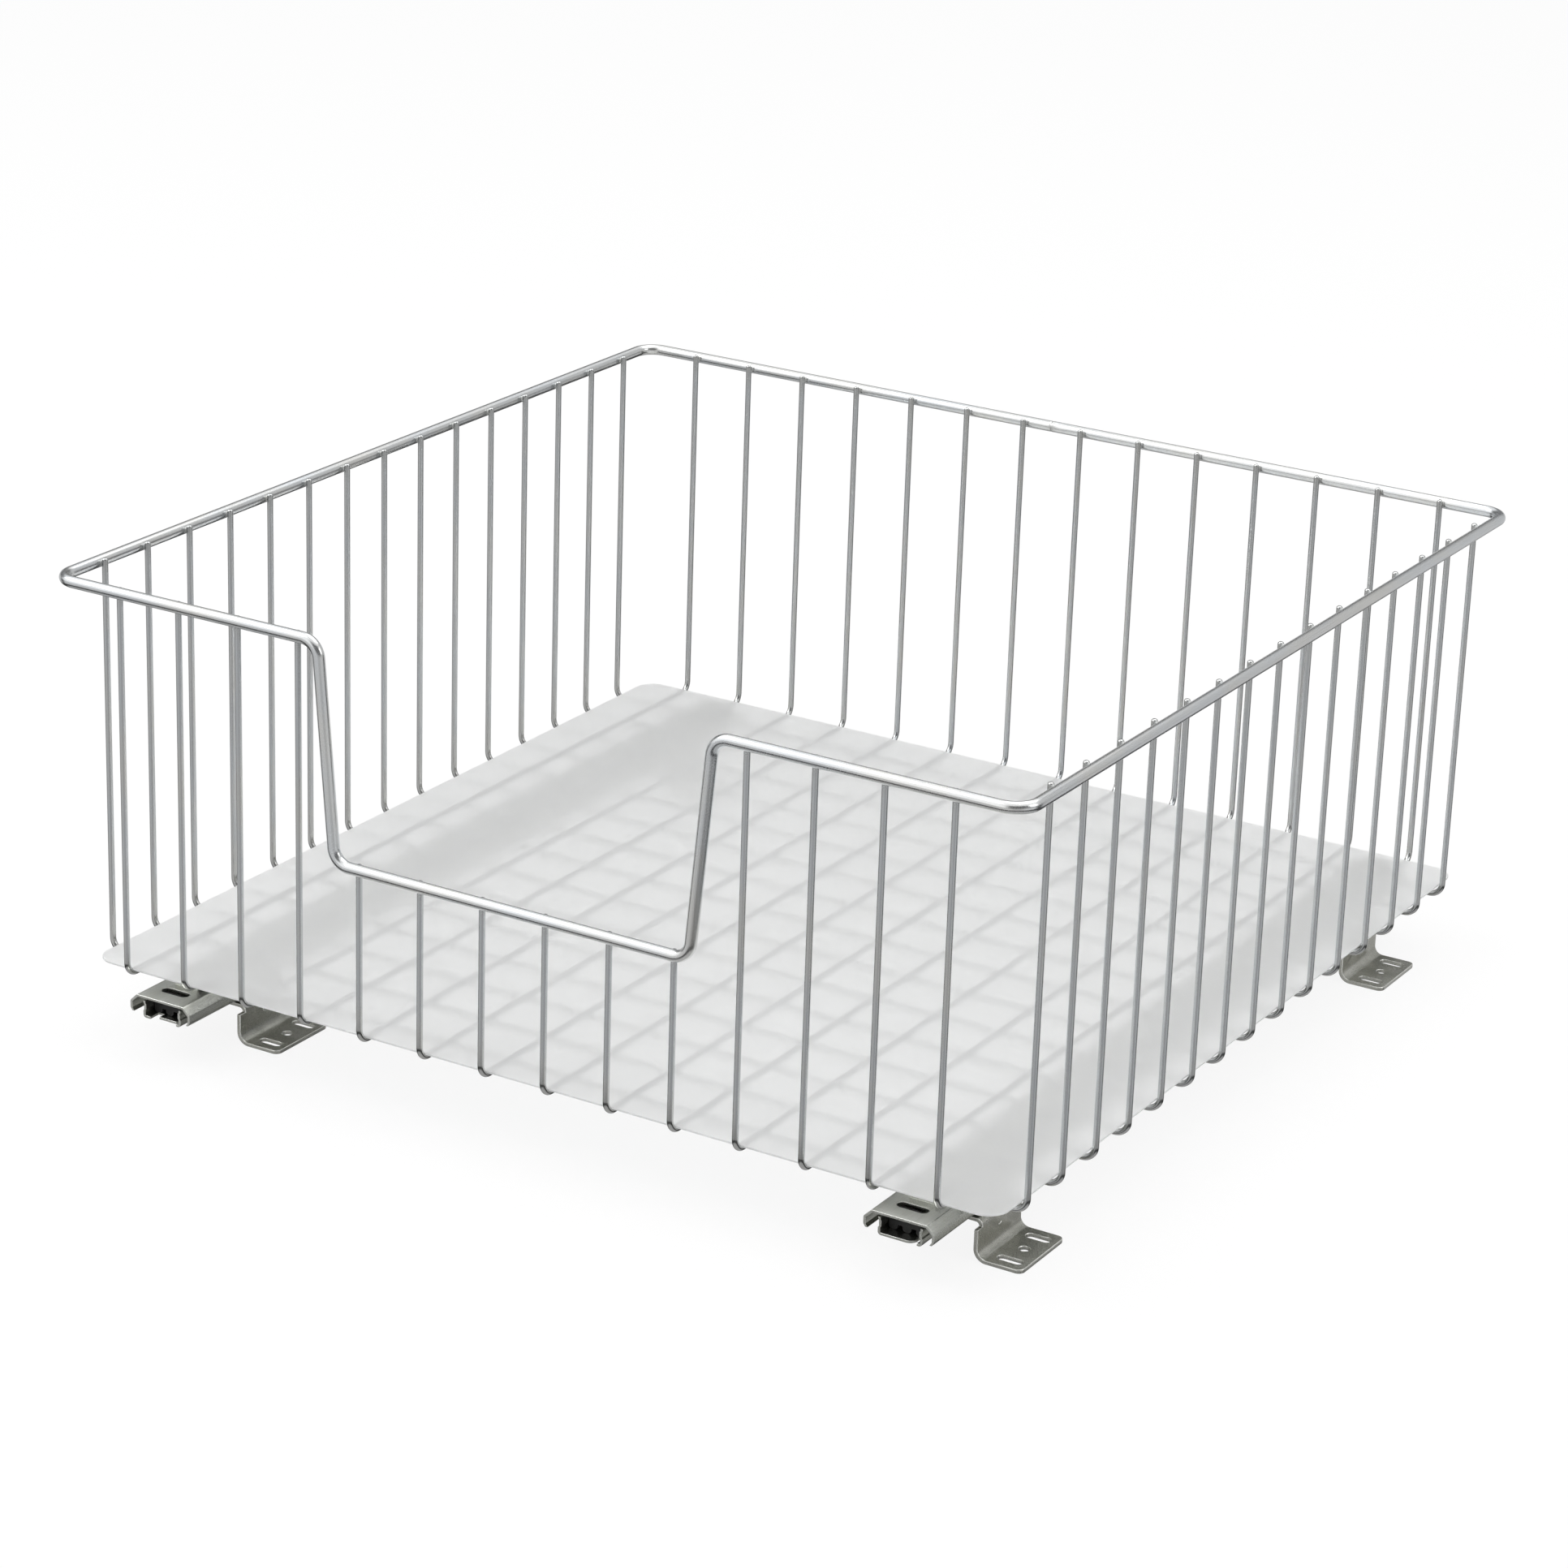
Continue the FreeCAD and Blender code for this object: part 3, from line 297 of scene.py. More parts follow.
def soft_copy(node: str, name: str, bevel: float) -> Piece:
    """Copy a solid's mesh, merge its loose triangles and round its sharp edges.

    Args:
        node: the solid that is copied.
        name: the new piece's name.
        bevel: width of the rounding.

    Returns:
        The new piece; its faces carry "edge", 1 on the rounding and 0 elsewhere.
    """
    shape = bmesh.new()
    shape.from_mesh(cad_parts[node].data)
    bmesh.ops.remove_doubles(shape, verts=shape.verts, dist=MERGE)
    bmesh.ops.dissolve_limit(shape, angle_limit=math.radians(FLAT), verts=shape.verts,
                             edges=shape.edges)
    edges = [e for e in shape.edges if len(e.link_faces) == 2
             and e.calc_face_angle(0.0) > math.radians(SHARP)]
    made = bmesh.ops.bevel(shape, geom=edges, offset=bevel, offset_type="OFFSET", segments=2,
                           profile=FULLNESS, affect="EDGES", clamp_overlap=False, material=-1)
    shape.faces.index_update()
    mark = np.zeros(len(shape.faces))
    mark[[f.index for f in made["faces"] if f.is_valid]] = 1.0
    mesh = bpy.data.meshes.new(name)
    shape.to_mesh(mesh)
    shape.free()
    add_number(mesh, "edge", mark, "FACE")
    mesh.polygons.foreach_set("use_smooth", np.ones(len(mark), dtype=bool))
    mesh.set_sharp_from_angle(angle=math.radians(CREASE))
    piece = link_object(name, mesh)
    weights = piece.modifiers.new("flat_faces", "WEIGHTED_NORMAL")
    weights.keep_sharp = True
    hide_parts(node)
    return piece


def finish_piece(piece: Piece, material: Material, ride: Ride) -> None:
    """Give a piece its material and its body, and report it."""
    piece.data.materials.append(material)
    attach(piece, ride.value)
    LOG.info("made %s with %d faces", piece.name, len(piece.data.polygons))


# Node trees


class Tree:
    """Adds nodes to one tree and links them by their sockets."""

    def __init__(self, tree: bpy.types.NodeTree) -> None:
        """Keep the tree."""
        self.tree = tree

    def add(self, kind: str, inputs: dict | None = None, **settings: object) -> Node:
        """Add a node.

        Args:
            kind: the node's type without the prefix ShaderNode.
            inputs: sockets or constants by input name or number.
            settings: properties of the node.

        Returns:
            The node.
        """
        node = self.tree.nodes.new("ShaderNode" + kind)
        for name, value in settings.items():
            setattr(node, name, value)
        for name, value in (inputs or {}).items():
            self.put(node.inputs[name], value)
        return node

    def put(self, socket: Socket, value: object) -> None:
        """Link a socket into an input, or set the input to a constant."""
        if isinstance(value, Socket):
            self.tree.links.new(value, socket)
        else:
            socket.default_value = value

    def math(self, operation: str, first: object, second: object = 0.0) -> Socket:
        """Join two numbers with an operation."""
        return self.add("Math", {0: first, 1: second}, operation=operation).outputs[0]

    def times(self, first: object, second: object) -> Socket:
        """Multiply two numbers."""
        return self.math("MULTIPLY", first, second)

    def plus(self, first: object, second: object) -> Socket:
        """Add two numbers."""
        return self.math("ADD", first, second)

    def spread(self, value: object, low: float, high: float, start: float = 0.0,
               end: float = 1.0) -> Socket:
        """Carry the range low to high over to start to end, clamped and smooth."""
        inputs = {"Value": value, "From Min": low, "From Max": high, "To Min": start, "To Max": end}
        return self.add("MapRange", inputs, interpolation_type="SMOOTHSTEP").outputs["Result"]

    def noise(self, place: Socket, scale: Triple, detail: float = 2.0,
              rough: float = 0.5) -> Socket:
        """Read noise, from 0 to 1, at a place multiplied by three scales."""
        moved = self.add("Mapping", {"Vector": place, "Scale": scale}).outputs[0]
        inputs = {"Vector": moved, "Scale": 1.0, "Detail": detail, "Roughness": rough}
        return self.add("TexNoise", inputs).outputs["Fac"]

    def blend(self, share: object, first: object, second: object) -> Socket:
        """Blend two colours by a share."""
        inputs = {"Factor": share, "A": first, "B": second}
        return self.add("Mix", inputs, data_type="RGBA").outputs["Result"]

    def number(self, name: str) -> Socket:
        """Read a number stored on the mesh."""
        return self.add("Attribute", attribute_name=name).outputs["Fac"]

    def place(self, turn: Triple = (0.0, 0.0, 0.0)) -> Socket:
        """Read the place in the object's own frame, in millimetres and turned."""
        spot = self.add("TexCoord").outputs["Object"]
        return self.add("Mapping", {"Vector": spot, "Rotation": turn,
                                    "Scale": (1 / MM, 1 / MM, 1 / MM)}).outputs[0]

    def bump(self, height: Socket) -> Socket:
        """Turn a height in metres into a normal."""
        return self.add("Bump", {"Strength": 1.0, "Distance": 1.0, "Height": height}).outputs[0]

    def seen(self, path: Node) -> Socket:
        """Read from a Light Path node whether the ray comes from the eye or through glass."""
        return self.math("MAXIMUM", path.outputs["Is Camera Ray"],
                         path.outputs["Is Transmission Ray"])

    def metal_skin(self, place: Socket, streaks: float, grain: float
                   ) -> bpy.types.bpy_prop_collection:
        """Add the group "metal_skin" at a place, with the heights of its streaks and grain.

        Returns:
            The group's outputs.
        """
        inputs = {"Place": place, "Streak Share": streaks, "Grain Share": grain}
        return self.add("Group", inputs, node_tree=metal_group()).outputs


def metal_group() -> bpy.types.NodeTree:
    """Make the group "metal_skin", shared by all metal finishes.

    It reads a place whose first axis runs with the drawing lines. Streaks are noise that is
    long along that axis; grain is fine even noise; stains are wide noise; pits are the rare
    peaks of a fine noise. The height is streaks and grain in their shares.

    Returns:
        The group: in Place (in millimetres), Streak Share and Grain Share; out Streaks,
        Grain, Stains, Pits and Normal.
    """
    known = bpy.data.node_groups.get("metal_skin")
    if known:
        return known
    group = bpy.data.node_groups.new("metal_skin", "ShaderNodeTree")
    for way, labels in (("INPUT", ("Place", "Streak Share", "Grain Share")),
                        ("OUTPUT", ("Streaks", "Grain", "Stains", "Pits", "Normal"))):
        for label in labels:
            kind = "NodeSocketVector" if label in ("Place", "Normal") else "NodeSocketFloat"
            group.interface.new_socket(label, in_out=way, socket_type=kind)
    tree = Tree(group)
    given = group.nodes.new("NodeGroupInput").outputs
    end = group.nodes.new("NodeGroupOutput").inputs
    streaks = tree.noise(given["Place"], STREAK_WAVES, 3.0, 0.6)
    grain = tree.noise(given["Place"], GRAIN_WAVES, 2.0, 0.6)
    stains = tree.noise(given["Place"], STAIN_WAVES, 3.0, 0.55)
    dots = tree.noise(given["Place"], PIT_WAVES, 1.0)
    height = tree.plus(tree.times(streaks, given["Streak Share"]),
                       tree.times(grain, given["Grain Share"]))
    tree.put(end["Streaks"], tree.spread(streaks, *WIDE))
    tree.put(end["Grain"], tree.spread(grain, *WIDE))
    tree.put(end["Stains"], tree.spread(stains, *CLOSE))
    tree.put(end["Pits"], tree.spread(dots, *PEAKS))
    tree.put(end["Normal"], tree.bump(height))
    return group


def new_material(name: str) -> tuple[Material, Tree, Node]:
    """Start a material and return it with its tree and its Principled node."""
    material = bpy.data.materials.new(name)
    material.use_nodes = True
    shader = material.node_tree.nodes["Principled BSDF"]
    return material, Tree(material.node_tree), shader


def dress(shader: Node, tree: Tree, colour: Socket, rough: Socket, normal: Socket,
          metallic: float = 0.0) -> None:
    """Give a Principled node its colour, roughness, normal and metalness."""
    tree.put(shader.inputs["Base Color"], colour)
    tree.put(shader.inputs["Roughness"], rough)
    tree.put(shader.inputs["Normal"], normal)
    tree.put(shader.inputs["Metallic"], metallic)


@dataclass(frozen=True)
class WireFinish:
    """Bright zinc on drawn wire, with a milky blue or straw tint here and there."""

    name: str
    bright: Colour = (0.80, 0.81, 0.82, 1)
    straw: Colour = (0.75, 0.74, 0.70, 1)
    blue: Colour = (0.68, 0.72, 0.76, 1)
    dull: Colour = (0.42, 0.42, 0.40, 1)
    tint_share: float = 0.55
    streak_tone: float = 0.25
    pit_tone: float = 0.5
    weld_tone: float = 0.55
    weld_rough: float = 0.12
    rough_low: float = 0.16
    rough_high: float = 0.30
    streak_height: float = 5e-6
    grain_height: float = 1.6e-6

    def material(self) -> Material:
        """Build the material: tint by stains, grey by streaks, dull at pits and welds."""
        material, tree, shader = new_material(self.name)
        out = tree.metal_skin(tree.add("UVMap", uv_map="wire").outputs[0], self.streak_height,
                              self.grain_height)
        weld = tree.number("weld")
        tint = tree.blend(out["Stains"], self.blue, self.straw)
        colour = tree.blend(self.tint_share, self.bright, tint)
        for mask, tone in ((out["Streaks"], self.streak_tone), (out["Pits"], self.pit_tone),
                           (weld, self.weld_tone)):
            colour = tree.blend(tree.times(mask, tone), colour, self.dull)
        rough = tree.spread(out["Grain"], 0, 1, self.rough_low, self.rough_high)
        rough = tree.plus(rough, tree.times(weld, self.weld_rough))
        dress(shader, tree, colour, rough, out["Normal"], 1.0)
        return material


@dataclass(frozen=True)
class SheetFinish:
    """Zinc plated sheet: rolling lines, smudges, and edges painted bright, partly as rubbed wear
    and partly as a painted highlight.
    """

    name: str
    plain: Colour
    smudge: Colour
    # Near-white paint for the bevel faces: partly rubbed wear, partly a painted highlight.
    edge: Colour = (0.93, 0.94, 0.90, 1)
    turn: Triple = (0.0, 0.0, 0.0)
    dark_share: float = 0.45
    streak_tone: float = 0.25
    pit_tone: float = 0.35
    least_edge_wear_and_highlight: float = 0.45
    most_edge_wear_and_highlight: float = 0.8
    edge_polish: float = 0.10
    rough_low: float = 0.24
    rough_high: float = 0.38
    streak_height: float = 6e-6
    grain_height: float = 2.2e-6

    def material(self) -> Material:
        """Build the material: the first axis of the turned place runs with the lines."""
        material, tree, shader = new_material(self.name)
        out = tree.metal_skin(tree.place(self.turn), self.streak_height, self.grain_height)
        edge = tree.number("edge")
        colour = tree.blend(out["Stains"], self.plain, self.smudge)
        dark = tuple(channel * self.dark_share for channel in self.plain[:3]) + (1,)
        colour = tree.blend(tree.times(out["Streaks"], self.streak_tone), colour, dark)
        colour = tree.blend(tree.times(out["Pits"], self.pit_tone), colour, dark)
        # Bevel faces blend towards a near-white colour: partly rubbed wear, partly a painted
        # highlight standing in for light caught by the edges.
        edge_wear_and_highlight = tree.times(edge, tree.spread(out["Stains"], 0, 1, self.least_edge_wear_and_highlight, self.most_edge_wear_and_highlight))
        colour = tree.blend(edge_wear_and_highlight, colour, self.edge)
        rough = tree.spread(out["Grain"], 0, 1, self.rough_low, self.rough_high)
        rough = tree.math("SUBTRACT", rough, tree.times(edge, self.edge_polish))
        dress(shader, tree, colour, rough, out["Normal"], 1.0)
        return material


@dataclass(frozen=True)
class FrostedPlastic:
    """Milky sheet: light passes through but is spread, so that only near things show."""

    name: str = "frosted_liner"
    tint: Colour = (0.91, 0.915, 0.912, 1)
    milk: Colour = (0.885, 0.89, 0.888, 1)
    clear: float = 0.60
    ior: float = 1.42
    grain_waves: Triple = (2.4, 2.4, 2.4)
    grain_height: float = 1.2e-5
    cloud_waves: Triple = (0.012, 0.012, 0.012)
    rough_low: float = 0.285
    rough_high: float = 0.315

    def material(self) -> Material:
        """Build the material: milky rough glass with a fine grain and faint clouds.

        Its roughness stays above 0.28: below, the denoiser takes it for clear glass and
        draws rims round the clouds.
        """
        material, tree, shader = new_material(self.name)
        place = tree.place()
        grain = tree.noise(place, self.grain_waves, 2.0, 0.6)
        clouds = tree.noise(place, self.cloud_waves)
        rough = tree.spread(clouds, *CLOSE, self.rough_low, self.rough_high)
        dress(shader, tree, tree.blend(clouds, self.tint, self.milk), rough,
              tree.bump(tree.times(grain, self.grain_height)))
        tree.put(shader.inputs["IOR"], self.ior)
        tree.put(shader.inputs["Transmission Weight"], self.clear)
        return material


@dataclass(frozen=True)
class BlackPlastic:
    """Moulded black nylon with a fine matt grain."""

    name: str = "buffer_nylon"
    plain: Colour = (0.006, 0.006, 0.006, 1)
    worn: Colour = (0.016, 0.016, 0.017, 1)
    grain_waves: Triple = (5.0, 5.0, 5.0)
    grain_height: float = 2e-5
    scuff_waves: Triple = (0.6, 0.6, 0.6)
    rough_low: float = 0.42
    rough_high: float = 0.60

    def material(self) -> Material:
        """Build the material: grain in the height, worn grey on the edges."""
        material, tree, shader = new_material(self.name)
        place = tree.place()
        grain = tree.noise(place, self.grain_waves, 2.0, 0.6)
        scuffs = tree.noise(place, self.scuff_waves, 3.0, 0.6)
        mark = tree.math("MAXIMUM", tree.number("edge"), tree.spread(scuffs, 0.5, 0.8))
        dress(shader, tree, tree.blend(mark, self.plain, self.worn),
              tree.spread(scuffs, *WIDE, self.rough_low, self.rough_high),
              tree.bump(tree.times(grain, self.grain_height)))
        return material


# The basket


@dataclass
class RimWire:
    """The thick rim: a flat loop whose front rail dips between two slanted runs."""

    half_width: float = 255.5 * MM
    half_depth: float = 253.5 * MM
    level: float = 228.33 * MM
    low_level: float = 122.73 * MM
    dip_top: float = 104.7 * MM
    dip_low: float = 95.4 * MM
    corner: float = 11 * MM
    dip_bend: float = 9 * MM
    radius: float = 2.85 * MM
    step: float = 4 * MM
    bend_steps: int = 20
    columns: int = 36
    seam_x: float = -1.0 * MM
    seam_half: float = 12 * MM
    seam_points: int = 97
    ring_height: float = 0.10 * MM
    ring_width: float = 0.45 * MM
    ring_turn: float = 0.9
    groove_depth: float = 0.16 * MM
    groove_shift: float = 0.9 * MM
    groove_width: float = 0.35 * MM
    scar_depth: float = 0.22 * MM
    scar_start: float = 9 * MM
    scar_length: float = 8 * MM
    weld_reach: float = 2.2 * MM

    def path(self) -> Path:
        """Work out the closed line, which runs towards +X at the front.

        The lift is -Y along the front, where the line stays in one upright plane, and the
        cross product of along and Z elsewhere, where it stays level. Both agree where these
        runs meet. The stretch at the seam has closer points.
        """
        x, y = self.half_width, self.half_depth
        corners = np.array([
            (-x, -y, self.level), (-self.dip_top, -y, self.level),
            (-self.dip_low, -y, self.low_level), (self.dip_low, -y, self.low_level),
            (self.dip_top, -y, self.level), (x, -y, self.level), (x, y, self.level),
            (-x, y, self.level)])
        bends = np.array([self.corner] + [self.dip_bend] * 4 + [self.corner] * 3)
        points, along = bent_line(corners, bends, True, self.step, self.bend_steps)
        from_seam = np.abs(points[:, 0] - self.seam_x)
        at_seam = np.flatnonzero((from_seam < self.seam_half) & (points[:, 1] > y - MM))
        start, stop = int(at_seam[0]), int(at_seam[-1]) + 1
        seam = np.tile([0.0, y, self.level], (self.seam_points, 1))
        seam[:, 0] = self.seam_x + np.linspace(self.seam_half, -self.seam_half, len(seam))
        straight = np.tile([-1.0, 0, 0], (len(seam), 1))
        points = np.concatenate([points[:start], seam, points[stop:]])
        along = np.concatenate([along[:start], straight, along[stop:]])
        upright = (np.abs(points[:, 1] + y) < 1e-7)[:, None]
        lift = unit(np.where(upright, [0.0, -1.0, 0.0], np.cross(along, [0.0, 0.0, 1.0])))
        return framed_path(points, along, lift)

    def build(self, material: Material) -> None:
        """Build the rim with its butt weld: a raised ring, a groove and a ground scar.

        At distance d from the seam, the ring adds h exp(-(d / w)^2) to the radius on the
        inner side, and the groove takes such a bell away all round. The scar takes away
        half a sine wave beside them, also on the inner side.
        """
        path = self.path()
        angle = np.linspace(0, 2 * math.pi, self.columns, endpoint=False)[None]
        offset = (self.seam_x - path.points[:, 0])[:, None]
        at_back = (path.points[:, 1] > self.half_depth - MM)[:, None]
        facing = np.clip(np.cos(angle + self.ring_turn), 0, 1)
        ring = self.ring_height * np.exp(-(offset / self.ring_width) ** 2) * facing
        groove = np.exp(-((offset - self.groove_shift) / self.groove_width) ** 2)
        share = np.clip((offset + self.scar_start) / self.scar_length, 0, 1)
        scar = self.scar_depth * np.sin(share * math.pi) * np.clip(facing * 2 - 1, 0, 1)
        radius = self.radius + (ring - self.groove_depth * groove - scar) * at_back
        surface = tube_surface(path, radius, self.columns)
        quads = grid_quads(len(path.points), self.columns, True)
        piece = make_piece("rim_loop", surface, quads.tolist())
        closing = np.linalg.norm(path.points[0] - path.points[-1])
        reach = np.append(path.reach, path.reach[-1] + closing)
        add_tube_map(piece.data, reach, 2 * math.pi * self.radius, self.columns)
        weld = np.exp(-(offset / self.weld_reach) ** 2) * at_back
        add_number(piece.data, "weld", np.repeat(weld, self.columns, axis=1))
        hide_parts("rim_frame")
        finish_piece(piece, material, Ride.BASKET)


@dataclass
class ThinWires:
    """Wall and floor wires: lengthwise ones above crosswise ones, each bent like a U."""

    radius: float = 1.5 * MM
    bend: float = 6.5 * MM
    tip_round: float = 1.1 * MM
    leg_x: float = 251.13 * MM
    leg_y: float = 249.13 * MM
    long_count: int = 14
    long_pitch: float = 34 * MM
    long_level: float = 35.14 * MM
    cross_count: int = 15
    cross_pitch: float = 31.8 * MM
    cross_level: float = 32.12 * MM
    tip_level: float = 230.93 * MM
    front_tip_level: float = 229.43 * MM
    low_tip_level: float = 123.83 * MM
    dip_low: float = 95.4 * MM
    weld_depth: float = 2.2 * MM
    weld_reach: float = 2.4 * MM
    tip_weld: float = 0.4
    step: float = 12 * MM
    bend_steps: int = 14
    tip_steps: int = 7
    columns: int = 24

    def long_places(self) -> Array:
        """Return where the lengthwise wires stand across the basket."""
        return (np.arange(self.long_count) - (self.long_count - 1) / 2) * self.long_pitch

    def cross_places(self) -> Array:
        """Return where the crosswise wires stand along the basket."""
        return (np.arange(self.cross_count) - (self.cross_count - 1) / 2) * self.cross_pitch

    def build_wire(self, name: str, node: str, corners: Array, lift: Array,
                   material: Material) -> None:
        """Build one wire with rounded tips.

        The tips follow a quarter circle: at depth s from the end the radius is
        r - t + sqrt(t^2 - (t - s)^2), t the rounding.

        Args:
            name: the piece's name.
            node: the solid that it stands for.
            corners: the four corners of the wire's line.
            lift: the unit vector square to the wire's plane.
            material: its finish.
        """
        points, along = bent_line(corners, np.full(4, self.bend), False, self.step,
                                  self.bend_steps)
        depth = self.tip_round * (1 - np.cos(np.linspace(0, QUARTER, self.tip_steps)))
        start = points[0] + along[0] * depth[:, None]
        end = points[-1] - along[-1] * depth[::-1, None]
        points = np.concatenate([start, points[1:-1], end])
        along = np.concatenate([np.repeat(along[:1], self.tip_steps, axis=0), along[1:-1],
                                np.repeat(along[-1:], self.tip_steps, axis=0)])
        path = framed_path(points, along, np.tile(lift, (len(points), 1)))
        from_end = np.minimum(path.reach, path.reach[-1] - path.reach)
        inside = np.clip(self.tip_round - from_end, 0, self.tip_round)
        radius = self.radius - self.tip_round + np.sqrt(self.tip_round ** 2 - inside ** 2)
        surface = tube_surface(path, radius[:, None], self.columns)
        tips = np.stack([points[0], points[-1]])
        ring = np.arange(self.columns)
        beside = (ring + 1) % self.columns
        tip = np.full(self.columns, len(points) * self.columns)
        base = (len(points) - 1) * self.columns
        lids = np.concatenate([np.stack([tip, beside, ring], axis=1),
                               np.stack([tip + 1, base + ring, base + beside], axis=1)])
        faces = grid_quads(len(points), self.columns, False).tolist() + lids.tolist()
        piece = make_piece(name, np.concatenate([surface.reshape(-1, 3), tips]), faces)
        add_tube_map(piece.data, path.reach, 2 * math.pi * self.radius, self.columns)
        weld = np.exp(-((from_end - self.weld_depth) / self.weld_reach) ** 2)
        weld = np.append(np.repeat(weld, self.columns), [self.tip_weld, self.tip_weld])
        add_number(piece.data, "weld", weld)
        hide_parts(node)
        finish_piece(piece, material, Ride.BASKET)

    def build(self, material: Material) -> None:
        """Build all wires; a lengthwise one has a lower front tip under the dip."""
        y, x, top = self.leg_y, self.leg_x, self.tip_level
        for index, across in enumerate(self.long_places(), start=1):
            floor = self.long_level
            front = self.low_tip_level if abs(across) < self.dip_low else self.front_tip_level
            corners = np.array([(across, -y, front), (across, -y, floor), (across, y, floor),
                                (across, y, top)])
            self.build_wire(f"lengthwise_wire_{index:02d}", f"long_wire_{index:02d}", corners,
                            np.array([1.0, 0, 0]), material)
        for index, along in enumerate(self.cross_places(), start=1):
            floor = self.cross_level
            corners = np.array([(-x, along, top), (-x, along, floor), (x, along, floor),
                                (x, along, top)])
            self.build_wire(f"crosswise_wire_{index:02d}", f"cross_wire_{index:02d}", corners,
                            np.array([0, 1.0, 0]), material)


@dataclass
class Welds:
    """Squeezed metal at each spot weld: small flat beads between two wires."""

    rim: RimWire
    wires: ThinWires
    rim_bead: Triple = (2.0 * MM, 1.0 * MM, 1.7 * MM)
    floor_bead: Triple = (1.45 * MM, 1.45 * MM, 0.62 * MM)
    rim_rows: int = 6
    floor_rows: int = 4
    columns: int = 10
    pole_gap: float = 0.05
    weld_level: float = 0.8

    def rim_spots(self) -> tuple[Array, Array]:
        """Return the centres and half sizes of the beads along the rim."""
        x, y = self.wires.long_places(), self.wires.cross_places()
        near_x = self.rim.half_width - self.rim.radius
        near_y = self.rim.half_depth - self.rim.radius
        level = self.rim.level
        front_z = np.where(np.abs(x) < self.wires.dip_low, self.rim.low_level, level)
        rows = [np.broadcast_arrays(*row) for row in (
            (x, -near_y, front_z), (x, near_y, level), (-near_x, y, level), (near_x, y, level))]
        a, b, c = self.rim_bead
        sizes = [np.tile([a, b, c], (2 * len(x), 1)), np.tile([b, a, c], (2 * len(y), 1))]
        return np.concatenate([np.stack(row, axis=1) for row in rows]), np.concatenate(sizes)

    def floor_spots(self) -> tuple[Array, Array]:
        """Return the centres and half sizes of the beads where floor wires cross."""
        x, y = np.meshgrid(self.wires.long_places(), self.wires.cross_places(), indexing="ij")
        level = (self.wires.long_level + self.wires.cross_level) / 2
        centres = np.stack([x.ravel(), y.ravel(), np.full(x.size, level)], axis=1)
        return centres, np.tile(self.floor_bead, (x.size, 1))

    def build(self, material: Material) -> None:
        """Build the beads of the rim and of the floor as two pieces."""
        for name, spots, rows in (("rim_welds", self.rim_spots(), self.rim_rows),
                                  ("floor_welds", self.floor_spots(), self.floor_rows)):
            points, faces = ball_surfaces(*spots, rows, self.columns, self.pole_gap)
            piece = make_piece(name, points, faces)
            add_number(piece.data, "weld", np.full(len(points), self.weld_level))
            layer = piece.data.uv_layers.new(name="wire")
            flat = points[[loop.vertex_index for loop in piece.data.loops]][:, :2] / MM
            layer.data.foreach_set("uv", flat.astype(np.float32).ravel())
            finish_piece(piece, material, Ride.BASKET)


@dataclass
class LinerMat:
    """Frosted sheet with round corners that lies on the lengthwise wires."""

    node: str = "liner_mat"
    corner: float = 11 * MM
    edge: float = 0.3 * MM
    wave_height: float = 0.10 * MM
    wave_turns: tuple[Pair, Pair] = ((5.1, 1.3), (3.7, 0.8))
    corner_steps: int = 16
    run_steps: int = 24
    ring_count: int = 34
    edge_steps: int = 5
    centre_share: float = 0.02

    def outline(self) -> tuple[Array, Array]:
        """Work out the outline and its outward directions, counterclockwise from above."""
        low, high = (np.array(corner[:2]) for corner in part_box(self.node))
        (left, front), (right, back) = low + self.corner, high - self.corner
        centres = np.array([(right, back), (left, back), (left, front), (right, front)])
        turns = np.linspace(0, QUARTER, self.corner_steps + 1)
        angle = np.arange(4)[:, None] * QUARTER + turns[None]
        ways = np.stack([np.cos(angle), np.sin(angle)], axis=-1)
        points = centres[:, None] + self.corner * ways
        share = np.linspace(0, 1, self.run_steps)[1:-1, None]
        gaps = np.roll(points[:, :1], -1, axis=0) - points[:, -1:]
        line = np.concatenate([points, points[:, -1:] + gaps * share], axis=1)
        out = np.concatenate([ways, np.repeat(ways[:, -1:], len(share), axis=1)], axis=1)
        return line.reshape(-1, 2), out.reshape(-1, 2)

    def build(self, material: Material) -> None:
        """Build the sheet as rings that run over the top, round the edge and back below.

        A ring is the outline moved inwards, and further in the outline scaled down. The
        top and the bottom rise together by a faint wave of sines, never below the wires.
        """
        line, out = self.outline()
        low, high = (np.array(corner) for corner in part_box(self.node))
        middle, sheet = ((low + high) / 2)[:2], high[2] - low[2]
        inner = line - out * (3 * self.edge) - middle
        scales = np.linspace(self.centre_share, 1, self.ring_count)
        turn = np.linspace(0, QUARTER, self.edge_steps)
        widening, narrowing = self.edge * (1 - np.sin(turn)), self.edge * (1 - np.cos(turn))
        top = middle + inner * scales[:, None, None]
        inset = np.concatenate([widening, narrowing])[:, None, None]
        flat = np.concatenate([top, line - out * inset, top[::-1]])
        levels = np.concatenate([np.full(len(scales), sheet), sheet - narrowing, widening,
                                 np.zeros(len(scales))])
        x, y = np.moveaxis((flat - middle) / (high - low)[:2] * 2, -1, 0)
        (a, b), (c, d) = self.wave_turns
        wave = self.wave_height * (1 + np.sin(a * x + b * y) * np.cos(c * y - d * x))
        height = low[2] + levels[:, None] + wave
        points = np.concatenate([flat, height[..., None]], axis=-1)
        quads = grid_quads(len(flat), len(line), False)[:, ::-1]
        caps = np.arange(len(line))
        last = caps + (len(flat) - 1) * len(line)
        faces = quads.tolist() + [caps.tolist(), last[::-1].tolist()]
        piece = make_piece("liner_sheet", points, faces)
        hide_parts(self.node)
        finish_piece(piece, material, Ride.BASKET)


# The slides


